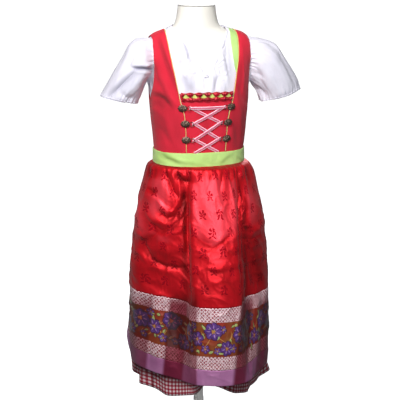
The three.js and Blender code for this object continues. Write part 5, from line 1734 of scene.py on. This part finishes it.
def add_roses(surface):
    """Roses in staggered rows over the red satin"""
    rng = np.random.default_rng(5)
    stitches = Stitches(surface)
    pitch_across, pitch_down = 54, 46
    rows = int(surface.down[-1] // pitch_down)
    for j in range(rows + 1):
        y = 26 + j * pitch_down
        shift = pitch_across / 2 * (j % 2)
        for i in range(int(surface.across // pitch_across)):
            x = 20 + shift + i * pitch_across + rng.uniform(-4, 4)
            if y > surface.down[-1] - 16 or x > surface.across - 20:
                continue
            rose(stitches, x, y + rng.uniform(-3, 3), rng.uniform(19, 23), rng.uniform(0, 6))
    stitches.finish("apron_roses", rose_satin, "red_satin")


def add_border_flowers(surface):
    """Lilac flowers, green leaves and gold stems on the border, in a layout of their own"""
    rng = np.random.default_rng(8)
    petals, pale, leaves, gold, outline = (Stitches(surface) for _ in range(5))
    pitch = 84
    for i in range(int(surface.across // pitch) + 1):
        x = 30 + i * pitch
        flip = 1 if i % 2 else -1
        blooms = [
            (x, 66 + 6 * flip, 33, 7),
            (x + 38, 94 - 12 * flip, 28, 6),
            (x - 22, 108, 17, 5),
            (x + 26, 52 - 4 * flip, 15, 5),
            (x + 10, 112, 13, 5),
        ]
        for bx, by, size, count in blooms:
            for k in range(count):
                angle = 2 * math.pi * k / count + rng.uniform(-0.12, 0.12) + i
                cx, cy = bx + 0.12 * size * math.cos(angle), by + 0.12 * size * math.sin(angle)
                outline.leaf(cx, cy, angle, size * 0.68, size * 0.62, lift=0.8, bulge=0.1, blunt=True)
                petals.leaf(cx, cy, angle, size * 0.6, size * 0.5, lift=1.0, bulge=0.5, blunt=True)
                pale.leaf(cx + 0.1 * size * math.cos(angle), cy + 0.1 * size * math.sin(angle), angle,
                          size * 0.34, size * 0.09, lift=1.6, bulge=0.1)
            for k in range(3):
                gold.leaf(bx, by, 2 * math.pi * k / 3 + i, size * 0.2, size * 0.16, lift=1.7, bulge=0.2)
        arcs = [
            [(x - 24, 104), (x - 12, 86), (x - 6, 72), (x, 60)],
            [(x, 60), (x + 14, 76), (x + 24, 84), (x + 34, 90)],
            [(x + 34, 90), (x + 46, 84), (x + 54, 74), (x + 52, 62)],
            [(x + 16, 46), (x + 8, 54), (x + 2, 58)],
            [(x - 24, 104), (x - 30, 90), (x - 30, 78), (x - 24, 66), (x - 18, 68)],
            [(x + 34, 90), (x + 26, 106), (x + 14, 112), (x + 4, 106), (x + 8, 98)],
        ]
        for arc in arcs:
            gold.stem(arc, 2.2)
        for _ in range(15):
            lx, ly = x + rng.uniform(-36, 52), rng.uniform(42, 120)
            turn, long, wide = rng.uniform(0, 6.28), rng.uniform(10, 20), rng.uniform(4, 7.5)
            outline.leaf(lx, ly, turn, long * 1.12, wide * 1.7, lift=0.62, bulge=0.05)
            leaves.leaf(lx, ly, turn, long, wide, lift=0.74, bulge=0.2)
    petals.finish("border_petals", petal_purple, "border_satin")
    pale.finish("border_petal_hearts", petal_pale, "border_satin")
    leaves.finish("border_leaves", leaf_green, "border_satin")
    gold.finish("border_stems", thread_gold, "border_satin")
    outline.finish("border_outlines", thread_dark, "border_satin")


def add_apron():
    panel, _, _ = apron_grid(130, 330, None, HEM_BAND + BORDER + 0.3)
    border, _, _ = apron_grid(56, 330, HEM_BAND + BORDER, HEM_BAND + 0.3)
    hem, _, _ = apron_grid(18, 330, HEM_BAND, 0)
    parts = [
        ("apron_satin", panel, red_satin, "red_satin", "apron_panel", "gathered", "waistband_cloth"),
        ("apron_woven_border", border, border_satin, "border_satin", "apron_border", "draped",
         "apron_satin"),
        ("apron_hem_band", hem, purple_taffeta, "purple_taffeta", "apron_hem", "draped",
         "apron_woven_border"),
    ]
    for name, points, material, slot, replaced, held, rests in parts:
        # painted highlights and shade on the satin, painted light on the border's and the hem's facets
        painted_light = painted_apron_light(points, name != "apron_satin")
        add_cloth(name, points, SATIN_THICK, material, [replaced], painted_light=painted_light)
    # the roses and the flowers take the painted light of the cloth under them
    add_roses(Surface(panel, painted_apron_light(panel, False)))
    add_border_flowers(Surface(border, painted_apron_light(border, True)))
    add_waistband()


def waist_strip(start, end, low, high, lift, rows, cols):
    u, v = grid(rows, cols)
    degrees = np.radians(mix(start, end, u))
    z = mix(high, low, v)
    return on_form(np.stack([100 * np.cos(degrees), 85 * np.sin(degrees), z], -1), lift), u, v


BAND_CREASES = [
    soft(3, 1.5, (160, 150), (170, 157), (178, 161), (186, 163)),
    soft(3, -1.2, (158, 153), (168, 160), (178, 164)),
    soft(3, 1.1, (176, 158), (190, 163), (202, 166)),
    soft(3, 1.0, (220, 162), (226, 157), (232, 154)),
    soft(3, -0.9, (205, 160), (216, 163), (226, 164)),
    soft(3, 0.9, (236, 155), (241, 159), (246, 160)),
]


def add_waistband():
    points, u, v = waist_strip(-208, 28, BAND_LOW_Z - 1.2, BAND_HIGH_Z, BAND["lift"], fine(22), fine(260))
    px, py, front = in_view(points)
    lumps = along_paths(px, py, BAND_CREASES) * ramp(front, -10, 20)
    lumps += 0.7 * noise(u * 34, v * 2.2 + u * 9, 80) + 0.3 * noise(u * 80, v * 4, 81)
    rounded = 0.9 * np.sin(math.pi * v) ** 0.5
    points = outwards(points, np.maximum(lumps, -0.6) * np.sin(math.pi * v) + rounded)
    # painted shade in the band's creases
    add_cloth("waistband_cloth", points, BAND["thick"], green_band,
              ["apron_waistband"], painted_light=painted_fold_shade(points, BAND_SHADE, hidden=1))
    for name, start, end in (("left", 28.35, 86), ("right", 151.65, 94)):
        points, u, v = waist_strip(start, end, BAND_LOW_Z + 2, BAND_HIGH_Z - 2, BAND["lift"],
                                   fine(20), fine(90))
        draw = ramp(u, 0.45, 1) * 0.42
        points[..., 2] = mix(points[..., 2], BAND_MIDDLE_Z, draw)
        folds = (1.1 * np.cos(2 * math.pi * (3 * v + 0.3 * noise(u * 3, v, 4))) * ramp(u, 0.25, 1)
                 + 0.5 * noise(u * 9, v * 3, 84))
        points = outwards(points, np.maximum(folds, -0.5) * np.sin(math.pi * v))
        add_cloth(f"tie_{name}_cloth", points, TIE_THICK, green_cotton,
                  [f"apron_tie_{name}"])
    add_bow()


TAIL_DEPTH = curve_through([-2.2, 5, 12, 44, 137, 291], [92, 102.5, 108, 119, 141.5, 161])


def add_bow():
    for name, sign in SIDES:
        line = path_through([(13.3, 90.2), (34, 89), (58, 91), (76, 96), (80, 104), (70, 109), (46, 105),
                             (26, 97), (13.3, 93)])
        u, v = grid(fine(22), fine(120))
        place = line(u)
        x, y = place[..., 0], place[..., 1]
        share = (x - 13) / 67
        half = mix(9, 17, np.sqrt(np.clip(share, 0, 1)))
        z = BAND_MIDDLE_Z - 16 * share**2 + mix(half, -half, v)
        points = np.stack([sign * x, y, z], -1)
        folds = 1.4 * np.cos(2 * math.pi * (2.5 * v)) * (1 - ramp(share, 0.1, 0.7))
        folds += 0.8 * noise(u * 12, v * 3, 90)
        points = pushed(points, folds * np.sin(math.pi * u) ** 0.5)
        add_cloth(f"bow_loop_{name}_cloth", points, 1.2, green_cotton,
                  [f"bow_loop_{name}"])
        u, v = grid(fine(120), fine(24))
        top = BAND_MIDDLE_Z - 15 + 0.45
        z = top - 294 * v
        half = mix(5, 14, ramp(v, 0, 0.4))
        x = sign * (6.5 + 10 * ramp(v, 0, 0.4) + 30 * v + mix(-half, half, u))
        y = TAIL_DEPTH(BAND_LOW_Z - z) + 1.2 * np.sin(9 * v + sign)
        points = np.stack([x, y, z], -1)
        folds = 1.6 * np.cos(2 * math.pi * 1.5 * u + sign) * bell(v, 0.4) + 1.2 * noise(u * 2, v * 9, 92)
        points[..., 1] += np.maximum(folds, -1.2)
        add_cloth(f"bow_tail_{name}_cloth", points, 1.2, green_cotton,
                  [f"bow_tail_{name}"])
    u, v = grid(fine(48), fine(64), ring=True)
    angle = 2 * math.pi * u
    dome = np.sin(math.pi * mix(0.03, 0.97, v))
    pleat = 1 + 0.07 * np.cos(7 * angle) * dome
    knot = np.stack([13 * dome * np.cos(angle) * pleat, 91.6 + 7 * dome * np.sin(angle) * pleat,
                     BAND_MIDDLE_Z + 15 * np.cos(math.pi * mix(0.03, 0.97, v))], -1)
    knot[..., 0] *= 1 - 0.18 * bell(v - 0.5, 0.25)
    add_cloth("bow_knot_cloth", knot, 1.2, green_cotton, ["bow_knot"],
              ring=True)


# How much deeper the skirt lies under the apron and near the band, and where its front hem hangs lower
# in the photo's pixels
UNDER_APRON = 13
UNDER_BAND = 5
HEM_DROP = {"place": 165, "wide": 17, "by": 13}


def skirt_points(first, last, rows, cols, seed):
    u, v = grid(fine(rows), fine(cols))
    place = mix(first, last, u)
    z = mix(WAIST_Z - 0.2, HEM_Z, v)
    points = across_lines(SKIRT_TABLE, place, z, True)
    below = BAND_LOW_Z - z
    span = last - first
    push = gathers(place - first, below, 40, span, seed, 2.8) * ramp(below, 0, 20)
    run = u * 620
    rumple = 1.8 * noise(run / 46, z / 90, seed) + 0.8 * noise(run / 20, z / 40, seed + 1)
    push = push + rumple * ramp(below, 20, 90)
    covered = ramp(place, -2, 0.6) * (1 - ramp(place, 21.4, 23)) if first < 10 else np.zeros_like(place)
    if first > 10:
        near_front = 1 - ramp(place, 22.2, 23.6) + ramp(place, 32.4, 34)
        covered = np.clip(near_front, 0, 1)
    # under the apron the skirt keeps clear of it
    keep = 1 - covered * ramp(z, APRON_HEM_Z - 2, APRON_HEM_Z + 30)
    push = np.where(push > 0, push * keep, push * (0.3 + 0.7 * keep))
    inside = covered * ramp(z, APRON_HEM_Z, APRON_HEM_Z + 60) * ramp(below, 20, 110)
    at_top = covered * ramp(below, 4, 24) * (1 - ramp(below, 40, 110))
    push = push - UNDER_APRON * inside - UNDER_BAND * at_top
    points = outwards(points, push * ramp(np.minimum(u, 1 - u), 0, 0.015))
    if first < 10:
        # the front hem hangs lower where it shows under the apron's raised corner
        px, _, _ = in_view(points)
        points[..., 2] -= HEM_DROP["by"] * bell(px - HEM_DROP["place"], HEM_DROP["wide"]) * ramp(v, 0.8, 1)
    return points


def add_skirt():
    front = skirt_points(RIGHT_SEAM + 0.01, LEFT_SEAM - 0.01, 72, 236, 23)
    # painted light on the pleats and a painted shadow under the apron
    add_cloth("skirt_front_cloth", front, SKIRT_THICK, gingham_cotton,
              ["skirt_front"], painted_light=painted_skirt_shade(front))
    back = skirt_points(LEFT_SEAM + 0.01, RIGHT_SEAM + len(SKIRT_TABLE) - 0.01, 76, 230, 29)
    add_cloth("skirt_back_cloth", back, SKIRT_THICK, gingham_cotton,
              ["skirt_back"], painted_light=painted_skirt_shade(back))


# Studio: a pale bowl that only the camera sees, a soft light from the upper left of the view, a wide one
# from the front and a weak one from behind. Lamps: place, aim, size, power, spread in degrees, colour.
LAMPS = {
    "key": ((-480, -1800, 2500), (0, -60, 1010), 800, 10.2, 72, (1, 0.985, 0.975)),
    "front": ((300, -3300, 1500), (0, 0, 1050), 1400, 6, 60, (0.96, 0.98, 1)),
    "back": ((500, 3300, 1900), (0, 0, 900), 1400, 3.5, 60, (0.97, 0.98, 1)),
}
BOWL_PROFILE = [(3, 0), (5.5, 0), (6.6, 0.3), (7.3, 1.1), (7.5, 2.4), (7.5, 9)]
SKY = (0.93, 0.95, 1.0, 1)
SKY_STRENGTH = 0.15


def add_studio():
    turns = 64
    angle = np.linspace(0, 2 * math.pi, turns, endpoint=False)
    rings = [[(r * math.cos(a), r * math.sin(a), z) for a in angle] for r, z in BOWL_PROFILE]
    points = [(0, 0, 0)] + [p for ring in rings for p in ring]
    faces = [(0, 1 + i, 1 + (i + 1) % turns) for i in range(turns)]
    for r in range(len(rings) - 1):
        for i in range(turns):
            a, b = 1 + r * turns + i, 1 + r * turns + (i + 1) % turns
            faces.append((a, a + turns, b + turns, b))
    mesh = bpy.data.meshes.new("studio_bowl")
    mesh.from_pydata(points, [], faces)
    mesh.polygons.foreach_set("use_smooth", [True] * len(mesh.polygons))
    bowl = bpy.data.objects.new("studio_bowl", mesh)
    bpy.context.scene.collection.objects.link(bowl)
    mat, _, shader = new_material("studio_white", 0.9)
    shader.inputs["Base Color"].default_value = (0.9, 0.9, 0.9, 1)
    shader.inputs["Emission Color"].default_value = (1, 1, 1, 1)
    shader.inputs["Emission Strength"].default_value = 1.0
    mesh.materials.append(mat)
    bowl.visible_diffuse = False
    bowl.visible_glossy = False
    bowl.visible_shadow = False

    world = bpy.data.worlds.new("studio")
    bpy.context.scene.world = world
    world.use_nodes = True
    background = world.node_tree.nodes["Background"]
    background.inputs[0].default_value = SKY
    background.inputs[1].default_value = SKY_STRENGTH
    for name, (place, aim, size, power, spread, colour) in LAMPS.items():
        data = bpy.data.lights.new(name, "AREA")
        data.energy = power
        data.size = size * MM
        data.spread = math.radians(spread)
        data.color = colour
        lamp = bpy.data.objects.new(name, data)
        bpy.context.scene.collection.objects.link(lamp)
        spot, target = (np.array([*turned(at[:2]), at[2]]) for at in (place, aim))
        way = target - spot
        lamp.location = spot * MM
        lamp.rotation_euler = (
            math.atan2(math.hypot(way[0], way[1]), -way[2]), 0, math.atan2(way[1], way[0]) - math.pi / 2)


def add_camera():
    data = bpy.data.cameras.new("camera")
    data.sensor_width = 36
    data.lens = data.sensor_width * VIEW_FOCAL / (2 * VIEW_MIDDLE)
    data.clip_end = 60
    camera = bpy.data.objects.new("camera", data)
    bpy.context.scene.collection.objects.link(camera)
    x, y = turned((VIEW_ASIDE, -VIEW_DISTANCE))
    camera.location = (x * MM, y * MM, VIEW_HEIGHT * MM)
    camera.rotation_euler = (math.pi / 2 - VIEW_PITCH, 0, -VIEW_TURN)
    bpy.context.scene.camera = camera


add_form()
add_stand()
add_blouse()
add_bodice()
add_trim()
add_hooks()
add_lacing()
add_skirt()
add_apron()
add_studio()
add_camera()
bpy.context.scene.view_settings.view_transform = "Standard"
